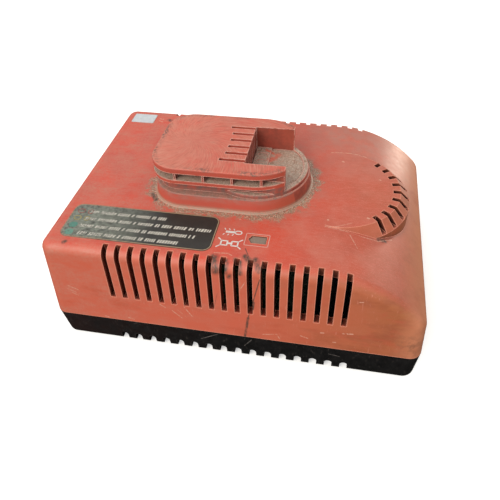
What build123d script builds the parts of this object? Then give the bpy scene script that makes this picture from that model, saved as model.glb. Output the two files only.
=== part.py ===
from build123d import *
import os
from math import cos, radians, sin, sqrt, tan

# Bench charger for slide-on power tool battery packs. Millimetres, +Z up.
# X runs along the body towards the fan end, Y towards the back, where the mains
# comes in. The origin is the middle of the footprint, on the surface it stands on.

# ---- driving dimensions: housing ---------------------------------------------
body_length = 238.8         # at the seam between the two shells
body_width = 173.2
base_height = 23.65         # black base, without its feet
cover_height = 58.35        # red cover, seam to deck
wall = 2.6
floor = 2.6
side_draft = 4.5            # degrees, long cover walls lean in towards the deck
end_draft = 3.5             # degrees, the same at the two ends
base_side_draft = 5.0       # degrees, long base walls lean in towards the floor
base_end_draft = 2.5
corner_radius = 8.0         # upright corners
deck_edge_radius = 7.0      # rounding round the deck and the sloping end
base_edge_radius = 2.5
least_radius = 0.4          # inside roundings get no tighter than this
slope_run = 67.9            # length of the end that curves down from the deck
slope_radius = 84.3

# ---- air vents -----------------------------------------------------------------
vent_count = 19             # on each long side
vent_pitch = 8.0
vent_width = 3.3
vent_row_x = -1.4           # X of the middle of the row
vent_reach = 6.9            # how far a vent runs in over the deck edge
vent_height = 37.4          # from the deck down the side
vent_depth = 6.0            # the wall is this thick between the vents
vent_margin = 2.4           # and stays so this far past them

# ---- louvred fan dome ------------------------------------------------------------
dome_inset = 60.4           # from the end of the body to the dome's axis
dome_radius = 40.0          # at the deck
dome_bevel = 6.7            # shoulder between the top disc and the upright wall, at 45 degrees
dome_root = 31.0            # how far the dome's wall is carried down inside
louvre_count = 9
louvre_step = 12.15         # degrees
louvre_width = 3.3
louvre_start = 35.2         # radius where a louvre begins on top
louvre_drop = 6.6           # from the deck down the shoulder
louvre_depth = 5.4          # the shoulder is this thick between the louvres

# ---- notches along the base ------------------------------------------------------
notch_count = 16
notch_pitch = 9.88
notch_width = 4.2
notch_height = 5.6
notch_depth = 7.0
tooth_radius = 1.6

# ---- battery dock ----------------------------------------------------------------
dock_arc_x = 5.4            # centre of the rounded end of the ring and the rails
rail_left = -59.4           # end of the rails' flange and of the top plate
rail_corner = 18.0
rail_half_width = 32.9      # half the width over the flange and the top plate
rail_end_x = 26.6           # the two arms are cut off square here
ring_left = -60.5           # the base ring, at its foot
ring_corner = 22.6
ring_half_width = 35.5
ring_height = 9.3
ring_taper = 9.2            # degrees
ring_rounding = 0.8
skirt_height = 1.0          # flared foot of the ring
skirt_taper = 45.0          # degrees
neck_depth = 3.9            # depth of the rail groove
groove_height = 7.0
flange_height = 2.6
cell_height = 4.9
cell_depth = 7.4
top_height = 3.8
web_width = 1.5
web_pitch = 18.05
web_first_x = -41.1
web_count = 4
web_setback = 0.5
pocket_x = 0.9              # end faces of the ribs
pocket_half_width = 21.1
pocket_rise = 12.1          # pocket floor above the deck
shelf_radius = 32.6         # rounded shelf that the pocket's floor is part of
shelf_arc_x = 5.9
recess_radius = 28.3
recess_x = 7.2
recess_step_x = 11.5
recess_depth = 0.8
dimple_length = 6.5
dimple_width = 3.4
dimple_x = 6.7
dimple_spacing = 8.0
dimple_y = 9.0              # middle of the pair
contact_count = 6
contact_pitch = 7.55
contact_slot_width = 2.6
contact_slot_x = -12.8      # inner end of a middle slot
contact_slot_curve = 2.6    # the outer slots begin this much further in
rib_gap = 0.7               # parting line at the foot of the ribs

# ---- contact block and blades ------------------------------------------------------
block_length = 24.0
block_half_width = 21.0
block_x = -12.0
block_rise = 11.6
block_drop = 6.0
block_flange = 3.0
block_flange_height = 2.4
blade_thickness = 0.8
blade_length = 8.0
blade_x = -6.5
blade_rise = 19.0
blade_drop = 11.0

# ---- status window, label and sticker ----------------------------------------------
window_x = 15.15
window_inset = 28.45        # from the front of the body to the middle of the window
window_length = 10.5
window_width = 6.2
window_point = 2.0
window_recess = 0.6
guide_flange = 1.5
guide_stem_radius = 2.2
label_length = 95.5
label_end_inset = 13.3      # from the left end of the body to the label
label_vent_gap = 2.5        # deck left bare between the vents and the label
label_dock_gap = 5.3        # and between the label and the dock's foot
label_corner = 5.5
label_thickness = 0.25
sticker_length = 18.2
sticker_width = 12.6
sticker_end_inset = 11.6
sticker_inset = 19.3        # from the back of the body to the middle of the sticker
sticker_corner = 1.0

# ---- fixings -----------------------------------------------------------------------
foot_lift = 0.6
foot_radius = 7.0
foot_recess = 1.2
foot_end_inset = 27.5       # from the end of the body to a foot's middle
foot_side_inset = 31.7
screw_end_inset = 15.5
screw_side_inset = 15.7
column_radius = 5.2
shank_radius = 1.5
head_radius = 3.1
head_height = 2.2
counterbore_depth = 8.0
cover_thread = 14.0
thread_gap = 0.05
hole_gap = 0.2              # round a screw in a clearance hole
seat_gap = 0.2              # round a moulding in its opening
lip_height = 2.5
lip_wall = 1.3
ledge_step = 0.6            # the ledge under the lip reaches this much further in
dock_screw_left = -45.0
dock_screw_right = 24.0
dock_screw_y = 14.0
dock_thread = 8.0
tip_gap = 1.0               # between a screw's tip and the end of its hole

# ---- circuit board and what it carries ----------------------------------------------
board_left_inset = 19.5     # from the ends and sides of the body to the board
board_right_inset = 69.5
board_side_inset = 22.7
board_thickness = 1.6
board_lift = 6.0
board_screw_inset = 6.0
board_post_radius = 3.5
board_shank = 1.25
board_head = 2.6
board_head_height = 1.6
board_thread = 5.0
core_length = 42.0
core_height = 30.0
core_depth = 15.0
core_leg = 12.0
core_yoke = 5.0
transformer_y = 12.0
winding_wall = 6.6
flange_wall = 8.6
bobbin_plate = 1.2
bobbin_gap = 0.3
sink_length = 52.0
sink_depth = 16.0
sink_height = 34.0
sink_back = 3.0
fin_count = 7
fin_thickness = 1.4
sink_left = 15.0            # from the board's left edge
sink_y = -32.0
transistor_count = 2
transistor_pitch = 24.0
transistor_width = 10.2
transistor_height = 15.5
transistor_body = 9.2
transistor_body_thickness = 4.5
transistor_leg = 0.8
tab_thickness = 1.3
tab_hole_drop = 3.0         # from the top of the tab to its hole
mains_cap_radius = 11.0
mains_cap_height = 31.0
mains_cap_left = 22.0       # from the board's left edge to its middle
mains_cap_y = 22.0
output_cap_radius = 5.0
output_cap_height = 20.0
output_cap_count = 3
output_cap_pitch = 12.5
output_cap_right = 32.0     # from the board's right edge
output_cap_y = -8.0
choke_radius = 11.0
choke_hole = 5.5
choke_width = 8.0
choke_turns = 1.6
choke_left = 22.0
choke_y = -14.0
fuse_radius = 2.6
fuse_length = 20.0
fuse_cap = 5.0
fuse_lift = 4.0
fuse_left = 20.0
fuse_back = 14.2            # from the board's back edge
clip_wall = 0.6
bridge_length = 18.0
bridge_width = 5.0
bridge_height = 14.0
bridge_leg = 0.8
bridge_left = 45.0
bridge_back = 19.9
relay_length = 19.0
relay_width = 15.5
relay_height = 15.0
relay_rounding = 0.6
relay_right = 30.0
relay_y = 28.0
chip_length = 9.9
chip_width = 6.0
chip_height = 1.8
chip_leg = 0.8
chip_right = 46.0
chip_y = -44.0
chip_pitch = 16.0
chip_count = 2
led_radius = 2.5
led_height = 7.0
led_collar = 0.5

# ---- cooling fan -------------------------------------------------------------------
fan_size = 50.0
fan_height = 15.0
fan_corner = 4.0
fan_bore_radius = 23.7
fan_drop = 9.0              # air space between the deck and the fan
fan_screw_spacing = 40.0
fan_post_radius = 3.4
fan_thread = 7.0
hub_plate = 2.0
hub_radius = 12.0
strut_width = 3.2
strut_count = 4
strut_root = 2.0            # a strut runs this far into the plate and into the frame
bearing_tube_radius = 3.2
bearing_outer = 2.2
bearing_height = 8.5
shaft_radius = 1.0
running_gap = 0.04
rotor_gap = 0.8             # between the hub plate and the rotor
rotor_wall = 1.6
rotor_height = 9.6
magnet_wall = 1.0
magnet_gap = 0.6
pole_count = 4
pole_shift = 1.2            # the slots between the poles lie nearer to the magnet
blade_count = 7
blade_tip_gap = 0.8
blade_root_pitch = 42.0
blade_tip_pitch = 62.0
blade_chord = 12.0
blade_plate = 1.3

# ---- mains inlet ---------------------------------------------------------------------
inlet_end_inset = 35.4      # from the left end of the body to the inlet's middle
inlet_rise = 11.0           # above the seam
inlet_plate_length = 27.0
inlet_plate_height = 15.0
inlet_plate = 1.0
inlet_body_length = 22.0
inlet_body_height = 11.5
inlet_body_depth = 17.0
socket_lobe = 4.4
socket_waist = 3.5          # half the height between the two lobes
socket_spread = 8.6
socket_depth = 12.0
pin_radius = 1.18
pin_length = 9.0
pin_tail = 5.0

# ---- wiring --------------------------------------------------------------------------
lead_radius = 1.1
lead_bend = 5.0
lead_step = 12.0            # height over which a contact lead steps to the right
mains_lead_run = 8.0        # straight out of the inlet before the bend
fan_lead_inset = 18.5       # from the fan's axis
fan_lead_spread = 3.0

# ---- levels and places worked out from the above ---------------------------------------
base_z = foot_lift
seam_z = base_z + base_height
deck_z = seam_z + cover_height
ceiling_z = deck_z - wall
board_z = base_z + floor + board_lift
board_top = board_z + board_thickness
groove_z = deck_z + ring_height
flange_z = groove_z + groove_height
cell_z = flange_z + flange_height
plate_z = cell_z + cell_height
dock_top = plate_z + top_height
pocket_z = deck_z + pocket_rise
deck_half_width = body_width / 2 - cover_height * tan(radians(side_draft))
slope_start = body_length / 2 - slope_run
dome_x = body_length / 2 - dome_inset
fan_z = ceiling_z - fan_drop - fan_height
foot_x = body_length / 2 - foot_end_inset
foot_y = body_width / 2 - foot_side_inset
screw_x = body_length / 2 - screw_end_inset
screw_y = body_width / 2 - screw_side_inset
shank_hole = shank_radius + hole_gap
thread_hole = shank_radius + thread_gap
window_y = window_inset - body_width / 2
label_x = (label_length - body_length) / 2 + label_end_inset
label_front = vent_reach + label_vent_gap - deck_half_width
label_back = -ring_half_width - skirt_height * tan(radians(skirt_taper)) - label_dock_gap
label_y = (label_front + label_back) / 2
label_width = label_back - label_front
sticker_x = (sticker_length - body_length) / 2 + sticker_end_inset
sticker_y = body_width / 2 - sticker_inset
board_left = board_left_inset - body_length / 2
board_right = body_length / 2 - board_right_inset
board_x = (board_left + board_right) / 2
board_length = board_right - board_left
board_width = body_width - 2 * board_side_inset
mains_cap_x = board_left + mains_cap_left
choke_x = board_left + choke_left
fuse_x = board_left + fuse_left
fuse_y = board_width / 2 - fuse_back
bridge_x = board_left + bridge_left
bridge_y = board_width / 2 - bridge_back
sink_x = board_left + sink_left + sink_length / 2
relay_x = board_right - relay_right
output_cap_x = board_right - output_cap_right
chip_x = board_right - chip_right
transformer_x = (mains_cap_x + mains_cap_radius + relay_x - relay_length / 2) / 2
fan_lead_x = dome_x - fan_lead_inset
inlet_x = inlet_end_inset - body_length / 2


def corner_points(x, y):
    """The four places mirrored about both middle planes."""
    return [(sx * x, sy * y) for sx in (-1, 1) for sy in (-1, 1)]


def upright(radius, low, high, x=0.0, y=0.0):
    """Round bar standing between two heights."""
    return Pos(x, y, (low + high) / 2) * Cylinder(radius, high - low)


def slab(sketch, low, high):
    """A flat outline given its thickness between two heights."""
    return extrude(Plane.XY.offset(low) * sketch, amount=high - low)


# ---- housing forms -----------------------------------------------------------------
def leaning_block(inset, far_z, end_lean, side_lean):
    """Block from the seam to far_z with its walls leaning in, its upright corners rounded."""
    reach = abs(far_z - seam_z)
    near_plan = (body_length - 2 * inset, body_width - 2 * inset)
    far_plan = (near_plan[0] - 2 * reach * tan(radians(end_lean)),
                near_plan[1] - 2 * reach * tan(radians(side_lean)))
    sections = [Pos(0, 0, z) * Rectangle(*plan) for z, plan in sorted([(seam_z, near_plan), (far_z, far_plan)])]
    block = loft(sections, ruled=True)
    uprights = [edge for edge in block.edges() if abs((edge @ 1 - edge @ 0).Z) > wall]
    return fillet(uprights, max(corner_radius - inset, least_radius))


def side_profile(inset):
    """Space under the deck and the curved fan end, seen from the front."""
    reach = slope_radius - inset
    deck = deck_z - inset
    low = deck_z - slope_radius
    middle = (slope_start + reach * sin(radians(45)), low + reach * cos(radians(45)))
    outline = Polyline((slope_start + reach, low), (-body_length, low), (-body_length, deck), (slope_start, deck))
    outline += ThreePointArc((slope_start, deck), middle, (slope_start + reach, low))
    return extrude(Plane.XZ * make_face(outline), amount=body_width, both=True)


def cover_form(inset=0.0):
    """The cover as a solid block, drawn in by inset on every side but the seam."""
    block = leaning_block(inset, deck_z - inset, end_draft, side_draft)
    form = block & side_profile(inset)
    rim = [edge for edge in form.edges() if on_rim(edge, inset)]
    return fillet(rim, max(deck_edge_radius - inset, least_radius))


def on_rim(edge, inset):
    """True for the edges round the deck and the slope, not for the line between them."""
    middle = edge @ 0.5
    surface = slope_height(middle.X, inset)
    crossing = abs(middle.X - slope_start) < 1e-3 and abs(middle.Y) < wall
    return abs(middle.Z - surface) < 1e-3 and not crossing


def slope_height(x, inset):
    """Height of the top of the cover at x, along the middle of the body."""
    over = max(x - slope_start, 0.0)
    return deck_z - slope_radius + sqrt((slope_radius - inset) ** 2 - over ** 2)


def dome_form(inset=0.0):
    """Fan dome: a disc level with the deck, a bevelled shoulder and an upright wall."""
    foot = deck_z - dome_root
    side = dome_radius + dome_bevel - inset
    shift = inset * tan(radians(22.5))
    outline = Polyline((0, foot), (side, foot), (side, deck_z - dome_bevel - shift),
                       (dome_radius - shift, deck_z - inset), (0, deck_z - inset), close=True)
    return Pos(dome_x, 0) * revolve(Plane.XZ * make_face(outline), Axis.Z)


def base_form(inset=0.0, bottom=0.0):
    """The base as a solid block, drawn in by inset and with its floor raised by bottom."""
    block = leaning_block(inset, base_z + bottom, base_end_draft, base_side_draft)
    underside = block.faces().sort_by(Axis.Z)[0]
    return fillet(underside.edges(), max(base_edge_radius - inset / 2, least_radius))


# ---- cover ----------------------------------------------------------------------------
def side_vents():
    """Slots that wrap over both long edges of the deck."""
    inner = deck_half_width - vent_reach
    outer = body_width / 2 + wall
    high = deck_z + wall
    low = deck_z - vent_height
    slot = Box(vent_width, outer - inner, high - low)
    first = vent_row_x - vent_pitch * (vent_count - 1) / 2
    places = [(first + vent_pitch * n, side) for n in range(vent_count) for side in (-1, 1)]
    return [Pos(x, side * (inner + outer) / 2, (low + high) / 2) * slot for x, side in places]


def vent_pads():
    """The thicker wall between the vents, so that each bar is a deep rib."""
    length = vent_pitch * (vent_count - 1) + vent_width + 2 * vent_margin
    low = deck_z - vent_height - vent_margin
    band = Pos(vent_row_x, 0) * Rectangle(length, body_width)
    band -= Pos(vent_row_x, 0) * Rectangle(length, 2 * (deck_half_width - vent_reach - vent_margin))
    return (cover_form(wall / 2) - cover_form(vent_depth)) & slab(band, low, deck_z)


def louvres():
    """Radial slots over the shoulder of the dome."""
    cutters = []
    reach = dome_radius + dome_bevel + wall
    low = deck_z - louvre_drop
    high = deck_z + wall
    slot = Pos((reach + louvre_start) / 2, 0, (low + high) / 2)
    slot *= Box(reach - louvre_start, louvre_width, high - low)
    for n in range(louvre_count):
        angle = louvre_step * (n - (louvre_count - 1) / 2)
        cutters.append(Pos(dome_x, 0) * Rot(0, 0, angle) * slot)
    return cutters


def louvre_pad():
    """The thicker shoulder between the louvres."""
    widest = radians(louvre_step * (louvre_count - 1) / 2)
    left = dome_x + (louvre_start - wall) * cos(widest)
    right = dome_x + dome_radius + dome_bevel
    band = Pos((left + right) / 2, 0) * Rectangle(right - left, body_width)
    return (dome_form(wall / 2) - dome_form(louvre_depth)) & slab(band, deck_z - louvre_drop - wall, deck_z)


def window_outline(grow=0.0):
    """Status window: a short arrow head that points left."""
    right = window_x + window_length / 2 + grow
    left = window_x - window_length / 2 - grow
    half = window_width / 2 + grow
    shoulder = left + window_point
    corners = [(left, window_y), (shoulder, window_y - half), (right, window_y - half),
               (right, window_y + half), (shoulder, window_y + half)]
    return make_face(Polyline(*corners, close=True))


def block_outline(grow=0.0):
    """Plan of the contact block."""
    plan = Rectangle(block_length + 2 * grow, 2 * (block_half_width + grow))
    return Pos(block_x, 0) * plan


def dock_screw_points():
    return [(x, side * dock_screw_y) for x in (dock_screw_left, dock_screw_right) for side in (-1, 1)]


def fan_screw_points():
    offset = fan_screw_spacing / 2
    return [(dome_x + x, y) for x, y in corner_points(offset, offset)]


def make_upper_shell():
    """Red cover: drafted walls, vents, louvred dome and the posts that hold the fan."""
    shell = cover_form() + dome_form()
    shell -= cover_form(wall) + dome_form(wall)
    shell += vent_pads() + louvre_pad()
    shell -= side_vents()
    shell -= louvres()
    posts = [upright(column_radius, seam_z, deck_z, x, y) for x, y in corner_points(screw_x, screw_y)]
    posts = (posts[0] + posts[1:]) & cover_form(wall / 2)
    shell += posts
    shell -= [upright(thread_hole, seam_z, seam_z + cover_thread, x, y)
              for x, y in corner_points(screw_x, screw_y)]
    shell += [upright(fan_post_radius, ceiling_z - fan_drop, deck_z - wall / 2, x, y)
              for x, y in fan_screw_points()]
    shell -= [upright(thread_hole, ceiling_z - fan_drop, ceiling_z - fan_drop + fan_thread, x, y)
              for x, y in fan_screw_points()]
    shell -= slab(block_outline(seat_gap), ceiling_z, deck_z)
    shell -= [upright(shank_hole, ceiling_z, deck_z, x, y) for x, y in dock_screw_points()]
    shell -= slab(window_outline(seat_gap), ceiling_z, deck_z)
    shell -= inlet_opening()
    return shell


# ---- base -------------------------------------------------------------------------------
def notch_comb():
    """Air space between the teeth along one lower edge, as a flat outline seen from the front."""
    below = base_z - notch_height
    comb = Pos(0, (base_z + below) / 2) * Rectangle(body_length, notch_height)
    first = -notch_pitch * (notch_count - 1) / 2
    for n in range(notch_count):
        x = first + notch_pitch * n
        top = base_z + notch_height - notch_width / 2
        comb += Pos(x, (base_z + top) / 2) * Rectangle(notch_width, top - base_z)
        comb += Pos(x, top) * Circle(notch_width / 2)
    mouths = [v for v in comb.vertices() if abs(v.Y - base_z) < 1e-6 and abs(v.X) < body_length / 2 - wall]
    return fillet(mouths, tooth_radius)


def notches():
    """The comb carried through the front and the back of the base."""
    half = body_width / 2 - base_height * tan(radians(base_side_draft))
    inner = half - notch_depth
    comb = extrude(Plane.XZ * notch_comb(), amount=-(body_width - inner))
    front = Pos(0, inner, 0) * comb
    return [front, Rot(0, 0, 180) * front]


def board_screw_points():
    x = board_length / 2 - board_screw_inset
    y = board_width / 2 - board_screw_inset
    return [(board_x + px, py) for px, py in corner_points(x, y)]


def make_lower_shell():
    """Black base tray with toothed lower edges, screw columns and board posts."""
    shell = base_form() - base_form(wall, floor)
    ledge = cover_form(wall + seat_gap) - cover_form(wall + seat_gap + lip_wall)
    shell += ledge & slab(Rectangle(body_length, body_width), seam_z, seam_z + lip_height)
    shell += seam_ledge()
    columns = [upright(column_radius, base_z, seam_z, x, y) for x, y in corner_points(screw_x, screw_y)]
    shell += (columns[0] + columns[1:]) & base_form(wall / 2)
    shell -= notches()
    shell -= [upright(shank_hole, base_z, seam_z, x, y) for x, y in corner_points(screw_x, screw_y)]
    shell -= [upright(head_radius + hole_gap, base_z, base_z + counterbore_depth, x, y)
              for x, y in corner_points(screw_x, screw_y)]
    shell -= [upright(foot_radius + seat_gap, base_z, base_z + foot_recess, x, y)
              for x, y in corner_points(foot_x, foot_y)]
    shell += [upright(board_post_radius, base_z + floor / 2, board_z, x, y) for x, y in board_screw_points()]
    shell -= [upright(board_shank + thread_gap, board_z - board_thread, board_z, x, y)
              for x, y in board_screw_points()]
    return shell


def seam_ledge():
    """Thickening under the locating lip, on the inside of the base wall."""
    inset = wall + seat_gap + lip_wall + ledge_step
    radius = max(corner_radius - inset, least_radius)
    plan = RectangleRounded(body_length - 2 * inset, body_width - 2 * inset, radius)
    band = slab(Rectangle(body_length, body_width), seam_z - lip_height, seam_z)
    return (base_form(wall / 2) & band) - slab(plan, seam_z - lip_height, seam_z)


# ---- battery dock ---------------------------------------------------------------------
def dock_outline(left, half, corner):
    """Plan of the dock: straight sides, rounded corners on the left, half round on the right."""
    plan = Pos((left + dock_arc_x) / 2, 0) * Rectangle(dock_arc_x - left, 2 * half)
    plan = fillet(plan.vertices().group_by(Axis.X)[0], corner)
    return plan + Pos(dock_arc_x, 0) * Circle(half)


def rail_outline(grow=0.0):
    """Plan of the flange and the top plate."""
    return dock_outline(rail_left - grow, rail_half_width + grow, rail_corner + grow)


def ring_outline(grow=0.0):
    """Plan of the base ring at its foot."""
    return dock_outline(ring_left - grow, ring_half_width + grow, ring_corner + grow)


def waisted_outline(depth):
    """The flange's plan drawn in by depth on the left and along the straight sides."""
    half = rail_half_width - depth
    band = Pos(dock_arc_x + rail_half_width / 2, 0) * Rectangle(rail_half_width, 2 * half)
    return rail_outline(-depth) + (rail_outline() & band)


def dock_base():
    """Base ring with its flared foot, and the rounded shelf on top of it."""
    ring = extrude(Plane.XY.offset(deck_z) * ring_outline(), amount=ring_height, taper=ring_taper)
    top = ring.faces().sort_by(Axis.Z)[-1]
    ring = fillet(top.edges(), ring_rounding)
    shelf = slab(Pos(shelf_arc_x, 0) * Circle(shelf_radius), deck_z + ring_height / 2, pocket_z)
    shelf_top = shelf.faces().sort_by(Axis.Z)[-1]
    shelf = fillet(shelf_top.edges(), recess_depth)
    spread = skirt_height * tan(radians(skirt_taper))
    skirt_plan = ring_outline(spread)
    skirt = extrude(Plane.XY.offset(deck_z) * skirt_plan, amount=skirt_height, taper=skirt_taper)
    return ring + shelf + skirt


def dock_rails():
    """Neck, flange, open cells with their webs, and the top plate, cut off square."""
    rails = slab(waisted_outline(neck_depth), groove_z - web_width, flange_z)
    rails += slab(rail_outline(), flange_z, cell_z)
    rails += slab(waisted_outline(cell_depth), cell_z, plate_z)
    web_plan = rail_outline(-web_setback)
    for n in range(web_count):
        x = web_first_x + web_pitch * n
        strip = Pos(x, 0) * Rectangle(web_width, 2 * rail_half_width)
        rails += slab(web_plan & strip, cell_z, plate_z)
    plate = slab(rail_outline(), plate_z, dock_top)
    top = plate.faces().sort_by(Axis.Z)[-1]
    rails += fillet(top.edges(), recess_depth)
    beyond = Pos(rail_end_x + rail_half_width, 0) * Rectangle(2 * rail_half_width, 4 * rail_half_width)
    return rails - slab(beyond, deck_z, dock_top)


def contact_slots():
    """Slots for the contact blades; the outer ones begin further in, on a shallow curve."""
    cutters = []
    middle = (contact_count - 1) / 2
    for n in range(contact_count):
        offset = (n - middle) / middle
        left = contact_slot_x - contact_slot_curve * offset ** 4
        strip = Pos((left + pocket_x) / 2, (n - middle) * contact_pitch)
        strip *= Rectangle(pocket_x - left, contact_slot_width)
        cutters.append(slab(strip, pocket_z, dock_top))
    return cutters


def pocket_space():
    """The pocket between the arms, open to the right and upwards."""
    length = shelf_arc_x + shelf_radius - pocket_x
    plan = Pos(pocket_x + length / 2, 0) * Rectangle(length, 2 * pocket_half_width)
    return slab(plan, pocket_z, dock_top)


def pocket_details():
    """Shallow recess, two dimples and the parting line in the pocket's floor."""
    disc = Pos(recess_x, 0) * Circle(recess_radius)
    right = Pos(recess_step_x + recess_radius, 0) * Rectangle(2 * recess_radius, 2 * pocket_half_width)
    cutters = [slab(disc & right, pocket_z - recess_depth, pocket_z)]
    for side in (-1, 1):
        dimple = Pos(dimple_x, dimple_y + side * dimple_spacing / 2)
        dimple *= SlotOverall(dimple_length, dimple_width)
        cutters.append(slab(dimple, pocket_z - recess_depth / 2, pocket_z))
    line = Pos(pocket_x + rib_gap / 2, 0) * Rectangle(rib_gap, 2 * pocket_half_width)
    cutters.append(slab(line, pocket_z - 2 * recess_depth, pocket_z))
    return cutters


def make_battery_dock():
    """Red dock that the pack slides onto, hollow below for the contact block."""
    dock = dock_base() + dock_rails()
    dock -= pocket_space()
    dock -= pocket_details()
    dock -= contact_slots()
    dock -= slab(block_outline(seat_gap), deck_z, deck_z + block_rise + seat_gap)
    dock -= slab(block_outline(block_flange + seat_gap), deck_z, deck_z + block_flange_height + seat_gap)
    opened = Pos(contact_slot_x / 2, 0) * Rectangle(-contact_slot_x, 2 * pocket_half_width - contact_slot_width)
    dock -= slab(opened & block_outline(), deck_z + block_rise, pocket_z)
    dock -= [upright(thread_hole, deck_z, deck_z + dock_thread, x, y) for x, y in dock_screw_points()]
    return dock


# ---- contacts ------------------------------------------------------------------------
def blade_row():
    middle = (contact_count - 1) / 2
    return [(blade_x, (n - middle) * contact_pitch) for n in range(contact_count)]


def make_contact_block():
    """Black moulding that carries the blades; its flange is held between deck and dock."""
    block = slab(block_outline(), deck_z - wall - block_drop, deck_z + block_rise)
    block += slab(block_outline(block_flange), deck_z, deck_z + block_flange_height)
    low = deck_z - wall - block_drop
    slots = [slab(Pos(x, y) * Rectangle(blade_length, blade_thickness), low, deck_z + block_rise)
             for x, y in blade_row()]
    return block - slots


def make_contact_blades():
    """One upright blade for each slot, with a narrower tail below the block."""
    blades = []
    for x, y in blade_row():
        high = deck_z + blade_rise
        low = deck_z - wall - block_drop
        blade = slab(Pos(x, y) * Rectangle(blade_length, blade_thickness), low, high)
        nose = blade.edges().filter_by(Axis.Y).group_by(Axis.Z)[-1]
        blade = chamfer(nose, blade_thickness)
        tail = slab(Pos(x, y) * Rectangle(blade_length / 2, blade_thickness), deck_z - wall - blade_drop, low)
        blades.append(blade + tail)
    return blades


# ---- status light, label, sticker ----------------------------------------------------------
def make_light_guide():
    """Clear window with a flange under the deck and a stem down to the lamp."""
    guide = slab(window_outline(), ceiling_z, deck_z - window_recess)
    guide += slab(window_outline(guide_flange), ceiling_z - guide_flange, ceiling_z)
    stem_low = board_top + led_height + hole_gap
    return guide + upright(guide_stem_radius, stem_low, ceiling_z - guide_flange, window_x, window_y)


def make_status_led():
    """Round-topped lamp with its collar, standing on the board under the stem."""
    lamp = upright(led_radius, board_top, board_top + led_height, window_x, window_y)
    lamp = fillet(lamp.edges().group_by(Axis.Z)[-1], led_radius / 2)
    collar = upright(led_radius + led_collar, board_top, board_top + 2 * led_collar, window_x, window_y)
    return lamp + collar


def make_status_label():
    """Long self-adhesive label with well rounded corners."""
    plan = Pos(label_x, label_y) * RectangleRounded(label_length, label_width, label_corner)
    return slab(plan, deck_z, deck_z + label_thickness)


def make_small_sticker():
    plan = Pos(sticker_x, sticker_y) * RectangleRounded(sticker_length, sticker_width, sticker_corner)
    return slab(plan, deck_z, deck_z + label_thickness)


# ---- fixings --------------------------------------------------------------------------
def pan_screw(x, y, seat, tip, shank, head, height, flip=False):
    """Screw with a bevelled head seated at one height and its tip at another."""
    side = 1 if flip else -1
    crown = seat + side * height
    body = upright(head, min(seat, crown), max(seat, crown), x, y)
    rim = body.edges().group_by(Axis.Z)[-1 if flip else 0]
    body = chamfer(rim, height / 2)
    return body + upright(shank, min(seat, tip), max(seat, tip), x, y)


def make_housing_screws():
    seat = base_z + counterbore_depth
    tip = seam_z + cover_thread - tip_gap
    return [pan_screw(x, y, seat, tip, shank_radius, head_radius, head_height)
            for x, y in corner_points(screw_x, screw_y)]


def make_dock_screws():
    tip = deck_z + dock_thread - tip_gap
    return [pan_screw(x, y, ceiling_z, tip, shank_radius, head_radius, head_height)
            for x, y in dock_screw_points()]


def make_fan_screws():
    tip = ceiling_z - fan_drop + fan_thread - tip_gap
    return [pan_screw(x, y, fan_z, tip, shank_radius, head_radius, head_height)
            for x, y in fan_screw_points()]


def make_board_screws():
    tip = board_z - board_thread + tip_gap
    return [pan_screw(x, y, board_top, tip, board_shank, board_head, board_head_height, True)
            for x, y in board_screw_points()]


def make_rubber_feet():
    """Four discs pressed into recesses in the floor, bevelled where they stand."""
    feet = []
    for x, y in corner_points(foot_x, foot_y):
        foot = upright(foot_radius, 0, base_z + foot_recess, x, y)
        feet.append(chamfer(foot.edges().group_by(Axis.Z)[0], foot_lift / 2))
    return feet


# ---- circuit board and its parts ----------------------------------------------------------
def make_circuit_board():
    plan = Pos(board_x, 0) * RectangleRounded(board_length, board_width, board_post_radius)
    board = slab(plan, board_z, board_top)
    return board - [upright(board_shank + hole_gap, board_z, board_top, x, y)
                    for x, y in board_screw_points()]


def make_transformer_core():
    """Pair of ferrite E halves, closed round the bobbin."""
    outline = Rectangle(core_length, core_height)
    window = Rectangle((core_length - core_leg) / 2 - core_leg / 2, core_height - 2 * core_yoke)
    shift = (core_leg + (core_length - core_leg) / 2 - core_leg / 2) / 2
    outline -= Pos(shift, 0) * window
    outline -= Pos(-shift, 0) * window
    core = extrude(Plane.XZ * outline, amount=core_depth / 2, both=True)
    return Pos(transformer_x, transformer_y, board_top + core_height / 2) * core


def bobbin_tube(inner, outer, low, high):
    """Square tube round the core's middle leg."""
    hole = Rectangle(core_leg + 2 * inner, core_depth + 2 * inner)
    plan = RectangleRounded(core_leg + 2 * outer, core_depth + 2 * outer, outer / 2) - hole
    return slab(Pos(transformer_x, transformer_y) * plan, low, high)


def make_transformer_bobbin():
    """Moulded former: a thin tube with a flange at each end, and its rows of pins' rails."""
    low = board_top + core_yoke + bobbin_gap
    high = board_top + core_height - core_yoke - bobbin_gap
    former = bobbin_tube(bobbin_gap, bobbin_gap + bobbin_plate, low, high)
    former += bobbin_tube(bobbin_gap, flange_wall, low, low + bobbin_plate)
    former += bobbin_tube(bobbin_gap, flange_wall, high - bobbin_plate, high)
    rail_y = core_depth / 2 + flange_wall - bobbin_plate
    for side in (-1, 1):
        rail = Rectangle(core_leg + 2 * flange_wall, 2 * bobbin_plate)
        place = Pos(transformer_x, transformer_y + side * rail_y)
        former += slab(place * rail, board_top, low + bobbin_plate)
    return former


def make_transformer_winding():
    """Wound copper under its wrap of tape, filling the former between the flanges."""
    low = board_top + core_yoke + bobbin_gap + bobbin_plate
    high = board_top + core_height - core_yoke - bobbin_gap - bobbin_plate
    return bobbin_tube(bobbin_gap + bobbin_plate, winding_wall, low, high)


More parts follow.
